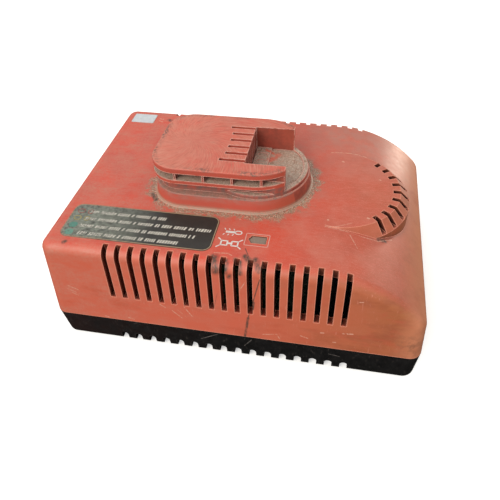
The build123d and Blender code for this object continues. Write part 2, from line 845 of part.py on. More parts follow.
def make_heat_sink():
    """Extruded aluminium sink: one back plate with fins towards the front."""
    plan = Pos(0, -sink_back / 2) * Rectangle(sink_length, sink_back)
    step = (sink_length - fin_thickness) / (fin_count - 1)
    for n in range(fin_count):
        x = n * step - (sink_length - fin_thickness) / 2
        plan += Pos(x, -(sink_depth + sink_back) / 2) * Rectangle(fin_thickness, sink_depth - sink_back)
    return slab(Pos(sink_x, sink_y) * plan, board_top, board_top + sink_height)


def transistor_places():
    first = -transistor_pitch * (transistor_count - 1) / 2
    return [sink_x + first + transistor_pitch * n for n in range(transistor_count)]


def make_power_transistors():
    """Tabbed packages flat against the back of the sink, with three legs in the board."""
    parts = []
    leg_height = sink_height / 3
    for x in transistor_places():
        low = board_top + leg_height
        tab = slab(Pos(x, sink_y + tab_thickness / 2) * Rectangle(transistor_width, tab_thickness),
                   low, low + transistor_height)
        hole = Rot(90, 0, 0) * Cylinder(shank_radius, 2 * sink_back)
        hole = Pos(x, sink_y, low + transistor_height - tab_hole_drop) * hole
        body_y = sink_y + tab_thickness + (transistor_body_thickness - tab_thickness) / 2
        body = slab(Pos(x, body_y) * Rectangle(transistor_width, transistor_body_thickness - tab_thickness),
                    low, low + transistor_body)
        part = tab - hole + body
        for n in (-1, 0, 1):
            leg = Pos(x + n * transistor_width / 4, body_y) * Rectangle(transistor_leg, transistor_leg)
            part += slab(leg, board_top, low)
        parts.append(part)
    return parts


def make_mains_capacitor():
    return can_capacitor(mains_cap_x, mains_cap_y, mains_cap_radius, mains_cap_height)


def make_output_capacitors():
    first = output_cap_y - output_cap_pitch * (output_cap_count - 1) / 2
    return [can_capacitor(output_cap_x, first + output_cap_pitch * n, output_cap_radius, output_cap_height)
            for n in range(output_cap_count)]


def can_capacitor(x, y, radius, height):
    """Aluminium can in its sleeve, with a rolled-in neck near the board and a scored top."""
    groove = radius / 8
    neck = radius / 2
    outline = Polyline((0, 0), (radius, 0), (radius, neck - groove), (radius - groove, neck),
                       (radius, neck + groove), (radius, height - groove), (radius - groove, height),
                       (0, height), close=True)
    can = Pos(x, y, board_top) * revolve(Plane.XZ * make_face(outline), Axis.Z)
    score = groove / 2
    cross = Box(radius, score, score) + Box(score, radius, score)
    return can - Pos(x, y, board_top + height) * cross


def make_choke_core():
    """Ferrite ring of the mains filter, standing on its rim."""
    ring = Circle(choke_radius) - Circle(choke_hole)
    core = extrude(Plane.XZ * ring, amount=choke_width / 2, both=True)
    return Pos(choke_x, choke_y, choke_middle()) * core


def choke_middle():
    """Height of the ring's centre when both windings rest on the board."""
    turns = choke_radius + choke_turns
    return board_top + sqrt(turns ** 2 - (choke_radius / 2) ** 2)


def make_choke_windings():
    """Two separate windings, one round each flank of the ring."""
    sleeve = Circle(choke_radius + choke_turns) - Circle(choke_hole - choke_turns)
    core = Circle(choke_radius) - Circle(choke_hole)
    solid = extrude(Plane.XZ * sleeve, amount=choke_width / 2 + choke_turns, both=True)
    solid -= extrude(Plane.XZ * core, amount=choke_width / 2, both=True)
    cut = Box(choke_radius, 3 * choke_radius, 3 * choke_radius)
    return (Pos(choke_x, choke_y, choke_middle()) * (solid - cut)).solids()


def make_mains_fuse():
    """Ceramic cartridge with a metal cap on each end, lying along X."""
    body = Rot(0, 90, 0) * Cylinder(fuse_radius - clip_wall / 2, fuse_length)
    for side in (-1, 1):
        body += Pos(side * (fuse_length - fuse_cap) / 2, 0, 0) * Rot(0, 90, 0) * Cylinder(fuse_radius, fuse_cap)
    return Pos(fuse_x, fuse_y, board_top + fuse_lift) * body


def make_fuse_clips():
    """Spring clips that grip the fuse caps, open at the top."""
    clips = []
    for side in (-1, 1):
        grip = Circle(fuse_radius + clip_wall + thread_gap) - Circle(fuse_radius + thread_gap)
        grip -= Pos(0, fuse_radius) * Rectangle(3 * fuse_radius, fuse_radius)
        stem_height = fuse_lift - fuse_radius - thread_gap
        grip += Pos(0, stem_height / 2 - fuse_lift) * Rectangle(2 * fuse_radius, stem_height)
        clip = extrude(Plane.YZ * grip, amount=fuse_cap / 3, both=True)
        x = fuse_x + side * (fuse_length - fuse_cap) / 2
        clips.append(Pos(x, fuse_y, board_top + fuse_lift) * clip)
    return clips


def make_bridge_rectifier():
    """Flat moulded package standing on four legs, one corner cut off."""
    low = board_top + fuse_lift
    body = Pos(bridge_x, bridge_y, low + bridge_height / 2) * Box(bridge_length, bridge_width, bridge_height)
    corner = body.edges().filter_by(Axis.Y).sort_by(lambda edge: edge.center().Z - edge.center().X)[-1]
    body = chamfer(corner, bridge_width / 2)
    for n in range(4):
        x = bridge_x + (n - 1.5) * bridge_length / 4
        body += slab(Pos(x, bridge_y) * Rectangle(bridge_leg, bridge_leg), board_top, low)
    return body


def make_output_relay():
    box = slab(Pos(relay_x, relay_y) * Rectangle(relay_length, relay_width), board_top,
               board_top + relay_height)
    return fillet(box.edges().group_by(Axis.Z)[-1], relay_rounding)


def make_control_chips():
    """Two small packages with a row of feet along each side."""
    chips = []
    for n in range(chip_count):
        x = chip_x
        y = chip_y + n * chip_pitch
        body = slab(Pos(x, y) * Rectangle(chip_length, chip_width), board_top + chip_height / 4,
                    board_top + chip_height)
        for k in range(4):
            leg = Rectangle(chip_leg / 2, chip_width + 2 * chip_leg)
            leg_x = x + (k - 1.5) * chip_length / 4
            body += slab(Pos(leg_x, y) * leg, board_top, board_top + chip_height / 2)
        chips.append(body)
    return chips


# ---- cooling fan ---------------------------------------------------------------------
def make_fan_frame():
    """Square fan housing with a round duct, a motor plate on struts and a bearing tube."""
    plan = RectangleRounded(fan_size, fan_size, fan_corner) - Circle(fan_bore_radius)
    frame = slab(Pos(dome_x, 0) * plan, fan_z, fan_z + fan_height)
    plate = Circle(hub_radius)
    for n in range(strut_count):
        strut = Rectangle(fan_bore_radius - hub_radius + 2 * strut_root, strut_width)
        strut = Pos((hub_radius + fan_bore_radius) / 2, 0) * strut
        plate += Rot(0, 0, 45 + 360 * n / strut_count) * strut
    frame += slab(Pos(dome_x, 0) * plate, fan_z, fan_z + hub_plate)
    frame += upright(bearing_tube_radius, fan_z, fan_z + hub_plate + bearing_height, dome_x, 0)
    frame -= upright(bearing_outer, fan_z + hub_plate / 2, fan_z + hub_plate + bearing_height, dome_x, 0)
    return frame - [upright(shank_hole, fan_z, fan_z + fan_height, x, y) for x, y in fan_screw_points()]


def make_fan_bearing():
    """Sintered bronze sleeve in the bearing tube."""
    low = fan_z + hub_plate / 2
    high = fan_z + hub_plate + bearing_height
    sleeve = upright(bearing_outer, low, high, dome_x, 0)
    return sleeve - upright(shaft_radius + running_gap, low, high, dome_x, 0)


def rotor_low():
    return fan_z + hub_plate + rotor_gap


def make_fan_stator():
    """Four wound poles round the bearing tube."""
    outer = hub_radius - rotor_wall - magnet_wall - magnet_gap
    inner = bearing_tube_radius
    plan = Circle(outer)
    for n in range(pole_count):
        slot = Pos((inner + outer) / 2 + pole_shift, 0) * SlotOverall(outer - inner, blade_plate)
        plan -= Rot(0, 0, 45 + 360 * n / pole_count) * slot
    plan -= Circle(inner)
    low = fan_z + hub_plate
    return slab(Pos(dome_x, 0) * plan, low, low + bearing_height - rotor_wall)


def make_fan_magnet():
    """Ring magnet lining the rotor's cup."""
    outer = hub_radius - rotor_wall
    plan = Circle(outer) - Circle(outer - magnet_wall)
    low = rotor_low()
    return slab(Pos(dome_x, 0) * plan, low, low + rotor_height - rotor_wall)


def make_fan_shaft():
    low = fan_z + hub_plate / 2 + rotor_gap / 2
    high = rotor_low() + rotor_height - rotor_wall / 2
    return upright(shaft_radius, low, high, dome_x, 0)


def fan_blade():
    """One twisted blade, flatter towards its tip, along +X."""
    root = hub_radius - rotor_wall / 2
    tip = fan_bore_radius
    section = Rectangle(blade_plate, blade_chord)
    inner = Plane(origin=(root, 0, 0), x_dir=(0, 1, 0), z_dir=(1, 0, 0)) * Rot(0, 0, blade_root_pitch) * section
    outer = Plane(origin=(tip, 0, 0), x_dir=(0, 1, 0), z_dir=(1, 0, 0)) * Rot(0, 0, blade_tip_pitch) * section
    return loft([inner, outer])


def make_fan_rotor():
    """Cup-shaped hub with a ring of blades, open below for the motor."""
    low = rotor_low()
    high = low + rotor_height
    hub = upright(hub_radius, low, high, dome_x, 0)
    hub = fillet(hub.edges().group_by(Axis.Z)[-1], rotor_wall / 2)
    blade = Pos(dome_x, 0, (low + high) / 2) * fan_blade()
    spin = Pos(dome_x, 0, 0)
    blades = [spin * Rot(0, 0, 360 * n / blade_count) * spin.inverse() * blade for n in range(blade_count)]
    swept = upright(fan_bore_radius - blade_tip_gap, low, high, dome_x, 0)
    rotor = hub + [blade & swept for blade in blades]
    rotor -= upright(hub_radius - rotor_wall, low, high - rotor_wall, dome_x, 0)
    return rotor - upright(shaft_radius, low, high - rotor_wall / 2, dome_x, 0)


# ---- mains inlet ------------------------------------------------------------------------
def inlet_plane():
    """Plane of the back wall's outer face at the inlet, its normal out of the charger."""
    lean = radians(side_draft)
    y = body_width / 2 - inlet_rise * tan(lean)
    return Plane(origin=(inlet_x, y, seam_z + inlet_rise), x_dir=(-1, 0, 0), z_dir=(0, cos(lean), sin(lean)))


def inlet_opening():
    """Through hole for the inlet's body and a seat for its face plate."""
    seat = extrude(inlet_plane() * Rectangle(inlet_plate_length + 2 * seat_gap,
                                             inlet_plate_height + 2 * seat_gap), amount=-inlet_plate)
    hole = extrude(inlet_plane() * Rectangle(inlet_body_length + 2 * seat_gap,
                                             inlet_body_height + 2 * seat_gap), amount=-2 * wall)
    return seat + hole


def pin_centres():
    return [(-socket_spread / 2, 0), (socket_spread / 2, 0)]


def make_mains_inlet():
    """Two-pole appliance inlet: face plate, body and a figure-of-eight socket."""
    face = inlet_plane()
    plate = RectangleRounded(inlet_plate_length, inlet_plate_height, inlet_plate)
    inlet = extrude(face * plate, amount=-inlet_plate)
    inlet += extrude(face * Rectangle(inlet_body_length, inlet_body_height), amount=-inlet_body_depth)
    lobes = Rectangle(socket_spread, 2 * socket_waist)
    for x, y in pin_centres():
        lobes += Pos(x, y) * Circle(socket_lobe)
    inlet -= extrude(face * lobes, amount=-socket_depth)
    for x, y in pin_centres():
        inlet -= extrude(face * (Pos(x, y) * Circle(pin_radius)), amount=-inlet_body_depth)
    return inlet


def make_inlet_pins():
    """Two round pins with tails out of the back of the body."""
    start = inlet_plane().offset(-(socket_depth - pin_length))
    length = inlet_body_depth + pin_tail - (socket_depth - pin_length)
    return [extrude(start * (Pos(x, y) * Circle(pin_radius)), amount=-length) for x, y in pin_centres()]


# ---- wiring -----------------------------------------------------------------------------
def lead(points):
    """Insulated wire along straight runs joined by bends."""
    path = FilletPolyline(*points, radius=lead_bend)
    start = Plane(origin=points[0], z_dir=Vector(*points[1]) - Vector(*points[0]))
    return sweep(start * Circle(lead_radius), path=path)


def make_contact_leads():
    """Wires from the tails of the outer blades down to the board."""
    wires = []
    rows = blade_row()
    for x, y in (rows[0], rows[1], rows[-2], rows[-1]):
        high = deck_z - wall - blade_drop
        turn = x + blade_length
        wires.append(lead([(x, y, high), (x, y, high - lead_step), (turn, y, high - 2 * lead_step),
                           (turn, y, board_top)]))
    return wires


def make_fan_leads():
    """Pair of wires from the underside of the fan to the edge of the board."""
    wires = []
    for side in (-1, 1):
        y = side * fan_lead_spread
        middle = (fan_z + board_top) / 2
        turn = fan_lead_x + fan_lead_spread
        wires.append(lead([(fan_lead_x, y, fan_z), (fan_lead_x, y, middle + lead_bend),
                           (turn, y, middle - lead_bend), (turn, y, board_top)]))
    return wires


def make_mains_leads():
    """Wires from the inlet's tails over the edge of the board and down to it."""
    wires = []
    lean = radians(side_draft)
    depth = inlet_body_depth + pin_tail
    for offset, _ in pin_centres():
        x = inlet_x + offset
        y = body_width / 2 - inlet_rise * tan(lean) - depth * cos(lean)
        z = seam_z + inlet_rise - depth * sin(lean)
        inner = y - mains_lead_run * cos(lean)
        wires.append(lead([(x, y, z), (x, inner, z - mains_lead_run * sin(lean)), (x, inner, board_top)]))
    return wires


PARTS = {
    "upper_shell": make_upper_shell,
    "lower_shell": make_lower_shell,
    "battery_dock": make_battery_dock,
    "contact_block": make_contact_block,
    "contact_blades": make_contact_blades,
    "light_guide": make_light_guide,
    "status_led": make_status_led,
    "rubber_feet": make_rubber_feet,
    "housing_screws": make_housing_screws,
    "dock_screws": make_dock_screws,
    "fan_screws": make_fan_screws,
    "board_screws": make_board_screws,
    "circuit_board": make_circuit_board,
    "transformer_core": make_transformer_core,
    "transformer_bobbin": make_transformer_bobbin,
    "transformer_winding": make_transformer_winding,
    "heat_sink": make_heat_sink,
    "power_transistors": make_power_transistors,
    "mains_capacitor": make_mains_capacitor,
    "output_capacitors": make_output_capacitors,
    "choke_core": make_choke_core,
    "choke_windings": make_choke_windings,
    "mains_fuse": make_mains_fuse,
    "fuse_clips": make_fuse_clips,
    "bridge_rectifier": make_bridge_rectifier,
    "output_relay": make_output_relay,
    "control_chips": make_control_chips,
    "fan_frame": make_fan_frame,
    "fan_bearing": make_fan_bearing,
    "fan_stator": make_fan_stator,
    "fan_magnet": make_fan_magnet,
    "fan_shaft": make_fan_shaft,
    "fan_rotor": make_fan_rotor,
    "mains_inlet": make_mains_inlet,
    "inlet_pins": make_inlet_pins,
    "contact_leads": make_contact_leads,
    "fan_leads": make_fan_leads,
    "mains_leads": make_mains_leads,
    "status_label": make_status_label,
    "small_sticker": make_small_sticker,
}

os.makedirs("parts", exist_ok=True)
for name, make in PARTS.items():
    shape = make()
    if isinstance(shape, (list, tuple)):
        shape = Compound(children=list(shape))
    export_step(shape, f"parts/{name}.step")
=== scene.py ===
from math import cos, hypot, radians, sin, tan
from random import Random

import bmesh
import bpy
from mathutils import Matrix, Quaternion, Vector


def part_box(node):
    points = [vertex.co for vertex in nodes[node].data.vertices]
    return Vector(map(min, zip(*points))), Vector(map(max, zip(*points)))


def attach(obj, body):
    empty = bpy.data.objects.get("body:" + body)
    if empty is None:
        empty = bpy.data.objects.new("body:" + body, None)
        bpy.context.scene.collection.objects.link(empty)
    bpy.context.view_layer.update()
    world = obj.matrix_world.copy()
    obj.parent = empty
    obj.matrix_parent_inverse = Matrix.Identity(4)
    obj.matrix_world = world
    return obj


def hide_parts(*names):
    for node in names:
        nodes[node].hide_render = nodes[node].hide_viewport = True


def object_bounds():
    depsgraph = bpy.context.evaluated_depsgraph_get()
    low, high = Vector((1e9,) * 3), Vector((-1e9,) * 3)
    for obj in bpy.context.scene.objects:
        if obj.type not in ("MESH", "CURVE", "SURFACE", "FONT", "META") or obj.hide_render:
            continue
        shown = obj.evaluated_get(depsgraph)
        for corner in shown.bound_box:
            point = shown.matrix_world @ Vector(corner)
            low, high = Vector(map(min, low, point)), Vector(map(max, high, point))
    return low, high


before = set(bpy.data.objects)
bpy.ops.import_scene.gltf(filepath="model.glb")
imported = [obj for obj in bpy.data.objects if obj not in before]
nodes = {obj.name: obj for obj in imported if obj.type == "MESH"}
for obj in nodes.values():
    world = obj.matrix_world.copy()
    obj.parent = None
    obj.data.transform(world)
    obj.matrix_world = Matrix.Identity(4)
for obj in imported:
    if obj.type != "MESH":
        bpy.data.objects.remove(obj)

scene = bpy.context.scene
cad_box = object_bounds()

# ---- bench, daylight and camera ---------------------------------------------------------
# The charger stands on a pale matt bench in soft daylight, a little stronger from the front
# left, with a weak second light behind that draws the rim of the sloping end.
mm = 0.001


def linear(code):
    """An sRGB hex colour as the linear colour that a shader takes."""
    channels = [int(code[i:i + 2], 16) / 255 for i in (1, 3, 5)]
    return tuple(c / 12.92 if c <= 0.04045 else ((c + 0.055) / 1.055) ** 2.4
                 for c in channels) + (1.0,)


def feed(tree, node, links):
    """Gives each of the node's inputs in links its value, socket or node."""
    for key, value in links.items():
        source = value.outputs[0] if isinstance(value, bpy.types.Node) else value
        if isinstance(source, bpy.types.NodeSocket):
            tree.links.new(source, node.inputs[key])
        else:
            node.inputs[key].default_value = source


def add(tree, kind, links=None, **settings):
    """Adds a node with its own settings and links."""
    node = tree.nodes.new(kind)
    for key, value in settings.items():
        setattr(node, key, value)
    feed(tree, node, links or {})
    return node


def new_material(name):
    """An empty material with its shader, and the piece's own coordinates."""
    material = bpy.data.materials.new(name)
    material.use_nodes = True
    tree = material.node_tree
    tree.nodes.clear()
    shader = add(tree, "ShaderNodeBsdfPrincipled")
    add(tree, "ShaderNodeOutputMaterial", {"Surface": shader})
    return material, tree, shader, add(tree, "ShaderNodeTexCoord").outputs["Object"]


def patches(tree, coords, size, low, high, stretch=(1, 1, 1), turn=(0, 0, 0), detail=4.0):
    """Mask of irregular patches about size metres across: 0 where noise is low, 1 where high."""
    place = add(tree, "ShaderNodeMapping", {"Vector": coords, "Scale": stretch, "Rotation": turn})
    noise = add(tree, "ShaderNodeTexNoise", {"Vector": place, "Scale": 1 / size, "Detail": detail,
                                             "Roughness": 0.6})
    return add(tree, "ShaderNodeMapRange", {"Value": noise, "From Min": low, "From Max": high})


def product(tree, *masks):
    """Where all the masks hold."""
    result = masks[0]
    for mask in masks[1:]:
        result = add(tree, "ShaderNodeMath", {0: result, 1: mask}, operation="MULTIPLY")
    return result


def paint(tree, ground, layers):
    """The ground colour with each (mask, hex colour) laid over it in turn."""
    for mask, code in layers:
        mix = add(tree, "ShaderNodeMix", {0: mask, 6: ground, 7: linear(code)}, data_type="RGBA")
        ground = mix.outputs[2]
    return ground


def new_object(name, data):
    """An object in the scene, at the origin, unturned."""
    item = bpy.data.objects.new(name, data)
    scene.collection.objects.link(item)
    return item


bench_half = 3.0
bench_gap = 0.05 * mm         # under the feet, so that the faces don't coincide
bench_top = bpy.data.meshes.new("bench")
corners = ((-1, -1), (1, -1), (1, 1), (-1, 1))
bench_top.from_pydata([(x * bench_half, y * bench_half, -bench_gap) for x, y in corners], [],
                      [(0, 1, 2, 3)])
bench = new_object("bench", bench_top)
bench_paint, tree, shader, coords = new_material("matt_white_bench")
grain = patches(tree, coords, 40 * mm, 0.3, 0.7)
white = paint(tree, linear("#f4f4f3"), [(grain, "#fafaf9")])
feed(tree, shader, {"Base Color": white, "Roughness": 0.9})
glow = add(tree, "ShaderNodeEmission", {"Color": (1, 1, 1, 1), "Strength": 0.45})
lit = add(tree, "ShaderNodeAddShader", {0: shader, 1: glow})
worn_top = paint(tree, linear("#57524c"), [(grain, "#6a645d")])
dull = add(tree, "ShaderNodeBsdfDiffuse", {"Color": worn_top})
clear = add(tree, "ShaderNodeBsdfTransparent")
light_table = add(tree, "ShaderNodeMixShader", {0: 0.5, 1: dull, 2: clear})
mirrored = add(tree, "ShaderNodeBsdfDiffuse", {"Color": linear("#2c2a28")})
path = add(tree, "ShaderNodeLightPath")
unseen = add(tree, "ShaderNodeMixShader",
             {0: path.outputs["Is Glossy Ray"], 1: light_table, 2: mirrored})
choice = add(tree, "ShaderNodeMixShader", {0: path.outputs["Is Camera Ray"], 1: unseen, 2: lit})
facing = add(tree, "ShaderNodeNewGeometry")
one_sided = add(tree, "ShaderNodeMixShader", {0: facing.outputs["Backfacing"], 1: choice, 2: clear})
feed(tree, tree.nodes["Material Output"], {"Surface": one_sided})
bench_top.materials.append(bench_paint)

world = bpy.data.worlds.new("soft_daylight")
world.use_nodes = True
sky = world.node_tree
sky_path = add(sky, "ShaderNodeLightPath")
sky_seen = add(sky, "ShaderNodeMath", {0: sky_path.outputs["Is Camera Ray"],
                                       1: sky_path.outputs["Is Transmission Ray"]},
               operation="MAXIMUM")
sky_light = sky.nodes["Background"]
feed(sky, sky_light, {"Color": (1.0, 0.985, 0.965, 1), "Strength": 0.66})
sky_white = add(sky, "ShaderNodeBackground", {"Color": (1, 1, 1, 1), "Strength": 1.0})
sky_mix = add(sky, "ShaderNodeMixShader", {0: sky_seen, 1: sky_light, 2: sky_white})
feed(sky, sky.nodes["World Output"], {"Surface": sky_mix})
scene.world = world


def lamp(name, kind, energy, place, size, colour):
    """A soft lamp at place that points at the middle of the charger."""
    light = bpy.data.lights.new(name, kind)
    light.energy = energy
    light.color = linear(colour)[:3]
    if kind == "SUN":
        light.angle = size
    else:
        light.shape = "DISK"
        light.size = size
    holder = new_object(name, light)
    holder.location = place
    aim = Vector((0, 0, cad_box[1][2] / 2)) - Vector(place)
    holder.rotation_mode = "QUATERNION"
    holder.rotation_quaternion = aim.to_track_quat("-Z", "Y")


lamp("window_light", "SUN", 1.95, (-0.55, -1.0, 0.90), radians(40), "#fff8ee")
lamp("back_light", "AREA", 1.3, (0.44, 0.60, 0.115), 0.09, "#ffeeda")

lens = bpy.data.cameras.new("camera")
lens.sensor_width = 36.0
lens.lens = 36.92
camera = new_object("camera", lens)
camera.location = (58.86 * mm, -275.35 * mm, 290.27 * mm)
azimuth, elevation, roll = radians(12.59), radians(44.26), radians(-2.62)
look = Vector((-sin(azimuth) * cos(elevation), cos(azimuth) * cos(elevation), -sin(elevation)))
camera.rotation_mode = "QUATERNION"
camera.rotation_quaternion = look.to_track_quat("-Z", "Y") @ Quaternion((0, 0, 1), roll)
scene.camera = camera

# ---- red cover --------------------------------------------------------------------------
# The upper half of the housing: one injection moulding in red ABS, screwed up from below.
# Years of shop dust have dulled the red, and grease and dust sit round the dock's foot.
# Pale edges are part rubbed, part painted highlight, a painted highlight lies on the sloping
# end and along the dome's rim, and painted shade with grime darkens the corners and the vents.
cover = nodes["upper_shell"]
dock = nodes["battery_dock"]
deck_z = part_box("upper_shell")[1][2]
seam_z = 24.25 * mm
wall_draft = radians(4.5)
fan_x = 59 * mm               # axis of the dome and the fan
louvre_reach = (33 * mm, 53 * mm)
abs_ior = 1.53


weld_gap = 0.001 * mm


def soften(piece, radius, angle=30.0):
    """Rounds a moulding's sharp edges as its tool does, on top of the unchanged solid."""
    weld = piece.modifiers.new("weld", "WELD")
    weld.merge_threshold = weld_gap
    flat = piece.modifiers.new("flat", "DECIMATE")
    flat.decimate_type = "DISSOLVE"
    flat.angle_limit = radians(0.4)
    edge = piece.modifiers.new("edge", "BEVEL")
    edge.width = radius
    edge.segments = 2
    edge.limit_method = "ANGLE"
    edge.angle_limit = radians(angle)
    edge.use_clamp_overlap = True
    edge.harden_normals = True
    even = piece.modifiers.new("even", "WEIGHTED_NORMAL")
    even.weight = 90
    for face in piece.data.polygons:
        face.use_smooth = True


def edge_rub_and_glint(tree, radius, low=0.93, high=0.995):
    """Mask of the convex and concave edges, where handling rubs and light catches."""
    bevel = add(tree, "ShaderNodeBevel", {"Radius": radius}, samples=6)
    geometry = add(tree, "ShaderNodeNewGeometry")
    turn = add(tree, "ShaderNodeVectorMath", {0: bevel, 1: geometry.outputs["Normal"]},
               operation="DOT_PRODUCT")
    return add(tree, "ShaderNodeMapRange", {"Value": turn.outputs["Value"], "From Min": high,
                                            "From Max": low})


def crevice(tree, reach, low, high):
    """Mask of the corners that the occlusion test finds within reach, where dust settles and shade
    falls.
    """
    shade = add(tree, "ShaderNodeAmbientOcclusion", {"Distance": reach}, samples=6)
    return add(tree, "ShaderNodeMapRange", {"Value": shade.outputs["AO"], "From Min": high,
                                            "From Max": low})


def upward(tree, low=0.6, high=0.95):
    """Mask of the faces that look up, where dust falls."""
    geometry = add(tree, "ShaderNodeNewGeometry")
    z = add(tree, "ShaderNodeSeparateXYZ", {0: geometry.outputs["Normal"]}).outputs["Z"]
    return add(tree, "ShaderNodeMapRange", {"Value": z, "From Min": low, "From Max": high})


def inverse(tree, mask):
    """Where the mask doesn't hold."""
    return add(tree, "ShaderNodeMath", {0: 1.0, 1: mask}, operation="SUBTRACT")


def band(tree, value, low, high, soft):
    """Mask of the places where value lies between low and high, with soft limits."""
    rise = add(tree, "ShaderNodeMapRange",
               {"Value": value, "From Min": low - soft, "From Max": low + soft})
    fall = add(tree, "ShaderNodeMapRange",
               {"Value": value, "From Min": high + soft, "From Max": high - soft})
    return product(tree, rise, fall)


def scratches(tree, coords, lines):
    """Mask of marks, each a width and the points that it runs through, in millimetres."""
    result = None
    parts = [(width, *ends) for width, *points in lines for ends in zip(points, points[1:])]
    for width, start, end in parts:
        begin = Vector(start) * mm
        run = Vector(end) * mm - begin
        out = add(tree, "ShaderNodeVectorMath", {0: coords, 1: begin}, operation="SUBTRACT")
        along = add(tree, "ShaderNodeVectorMath", {0: out, 1: run / run.length_squared},
                    operation="DOT_PRODUCT")
        share = add(tree, "ShaderNodeClamp", {"Value": along.outputs["Value"]})
        foot = add(tree, "ShaderNodeVectorMath", {0: run, "Scale": share}, operation="SCALE")
        gap = add(tree, "ShaderNodeVectorMath", {0: out, 1: foot}, operation="DISTANCE")
        half = width * mm / 2
        near = add(tree, "ShaderNodeMapRange",
                   {"Value": gap.outputs["Value"], "From Min": half, "From Max": half / 3})
        result = near if result is None else add(tree, "ShaderNodeMath", {0: result, 1: near},
                                                 operation="MAXIMUM")
    return result


def distance_out(tree, coords, left, half, corner, arc_x):
    """Distance out from an outline with rounded corners on the left and a half round right end."""
    x, y, z = add(tree, "ShaderNodeSeparateXYZ", {0: coords}).outputs
    side = add(tree, "ShaderNodeMath", {0: y}, operation="ABSOLUTE")
    over_left = add(tree, "ShaderNodeMath", {0: left + corner, 1: x}, operation="SUBTRACT")
    over_right = add(tree, "ShaderNodeMath", {0: x, 1: arc_x}, operation="SUBTRACT")
    right = add(tree, "ShaderNodeMath", {0: over_right, 1: 0.0}, operation="GREATER_THAN")
    rim = add(tree, "ShaderNodeMix", {0: right, 2: half - corner, 3: 0.0})
    radius = add(tree, "ShaderNodeMix", {0: right, 2: corner, 3: half})
    across = add(tree, "ShaderNodeMath", {0: side, 1: rim}, operation="SUBTRACT")
    both = [add(tree, "ShaderNodeMath", {0: over_left, 1: over_right}, operation="MAXIMUM"), across]
    both = [add(tree, "ShaderNodeMath", {0: part, 1: 0.0}, operation="MAXIMUM") for part in both]
    plan = add(tree, "ShaderNodeCombineXYZ", {0: both[0], 1: both[1]})
    reach = add(tree, "ShaderNodeVectorMath", {0: plan}, operation="LENGTH")
    past = add(tree, "ShaderNodeMath", {0: reach.outputs["Value"], 1: radius}, operation="SUBTRACT")
    return past


def faded_red(tree, coords, side_lighting_code):
    """Faded red ABS: mottled where the dye has bleached unevenly, browner towards the fan; upright
    walls take a second tone as painted light and shade.
    """
    x, y, z = add(tree, "ShaderNodeSeparateXYZ", {0: coords}).outputs
    brown = add(tree, "ShaderNodeMapRange", {"Value": x, "From Min": 10 * mm, "From Max": 104 * mm})
    level = upward(tree)
    upright = inverse(tree, level)
    streaks = patches(tree, coords, 1.3 * mm, 0.48, 0.80, stretch=(0.25, 1.3, 1), turn=(0, 0, 0.5))
    tall = patches(tree, coords, 15 * mm, 0.46, 0.62, stretch=(0.5, 1, 1.4))
    flecks = patches(tree, coords, 9 * mm, 0.55, 0.80, stretch=(0.4, 1, 1))
    shift = add(tree, "ShaderNodeMapRange", {"Value": patches(tree, coords, 30 * mm, 0.25, 0.75),
                                             "To Min": 0.7})
    warm = product(tree, brown, shift)
    return paint(tree, linear("#d94c37"), [
        (patches(tree, coords, 26 * mm, 0.42, 0.62), "#c95243"),
        # upright walls: a second tone of the red, painted light and shade for how light falls on
        # them
        (upright, side_lighting_code),
        (product(tree, warm, level), "#b45f40"),
        (product(tree, warm, upright), "#a8643c"),
        (product(tree, warm, upright, tall), "#9c5234"),
        (product(tree, upright, flecks), "#bd563b"),
        (product(tree, streaks, level), "#d26a56")])


def coat(tree, shader, colour, gloss, roughness, relief, strength, depth, **others):
    """Gives the shader its colour, its roughness where gloss is 0 and 1, and fine relief."""
    low, high = roughness
    rough = add(tree, "ShaderNodeMapRange", {"Value": gloss, "To Min": low, "To Max": high})
    bump = add(tree, "ShaderNodeBump", {"Height": relief, "Strength": strength, "Distance": depth})
    feed(tree, shader, {"Base Color": colour, "Roughness": rough, "Normal": bump, **others})


def dress(piece, material):
    """Gives a CAD piece its material."""
    for slot in piece.material_slots:
        slot.material = material


red_abs, tree, shader, coords = new_material("faded_red_abs")
dock_low, dock_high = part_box("battery_dock")
dock_arc_x = dock_high[0] - dock_high[1]
ring_corner = 23.6 * mm
foot_gap = distance_out(tree, coords, dock_low[0], dock_high[1], ring_corner, dock_arc_x)
x, y, z = add(tree, "ShaderNodeSeparateXYZ", {0: coords}).outputs
on_deck = add(tree, "ShaderNodeMapRange", {"Value": z, "From Min": deck_z - 0.4 * mm,
                                           "From Max": deck_z - 0.1 * mm})
ragged = patches(tree, coords, 7 * mm, 0.34, 0.70)
reach = add(tree, "ShaderNodeMath", {0: ragged, 1: 10.5 * mm, 2: 1.8 * mm},
            operation="MULTIPLY_ADD")
inner = add(tree, "ShaderNodeMath", {0: reach, 1: 0.45}, operation="MULTIPLY")
ring = add(tree, "ShaderNodeMapRange", {"Value": foot_gap, "From Min": reach, "From Max": inner})
dirt_ring = product(tree, on_deck, ring, patches(tree, coords, 0.9 * mm, 0.34, 0.52, detail=2.0))
pale_grains = product(tree, dirt_ring, patches(tree, coords, 0.6 * mm, 0.50, 0.58, detail=1.0))
halo = add(tree, "ShaderNodeMapRange", {"Value": foot_gap, "From Min": 18 * mm, "From Max": 2 * mm,
                                        "To Max": 0.5})
dusty_halo = product(tree, on_deck, halo, patches(tree, coords, 9 * mm, 0.38, 0.62))
dust = product(tree, upward(tree), patches(tree, coords, 18 * mm, 0.44, 0.95))
fine_dust = product(tree, upward(tree), patches(tree, coords, 0.5 * mm, 0.56, 0.85, detail=2.0))
left_part = add(tree, "ShaderNodeMapRange", {"Value": x, "From Min": 40 * mm,
                                             "From Max": -90 * mm, "To Min": 0.15, "To Max": 0.9})
side_dust = product(tree, left_part, patches(tree, coords, 1.6 * mm, 0.25, 0.60),
                    patches(tree, coords, 11 * mm, 0.35, 0.72, stretch=(0.6, 1, 1.4)))
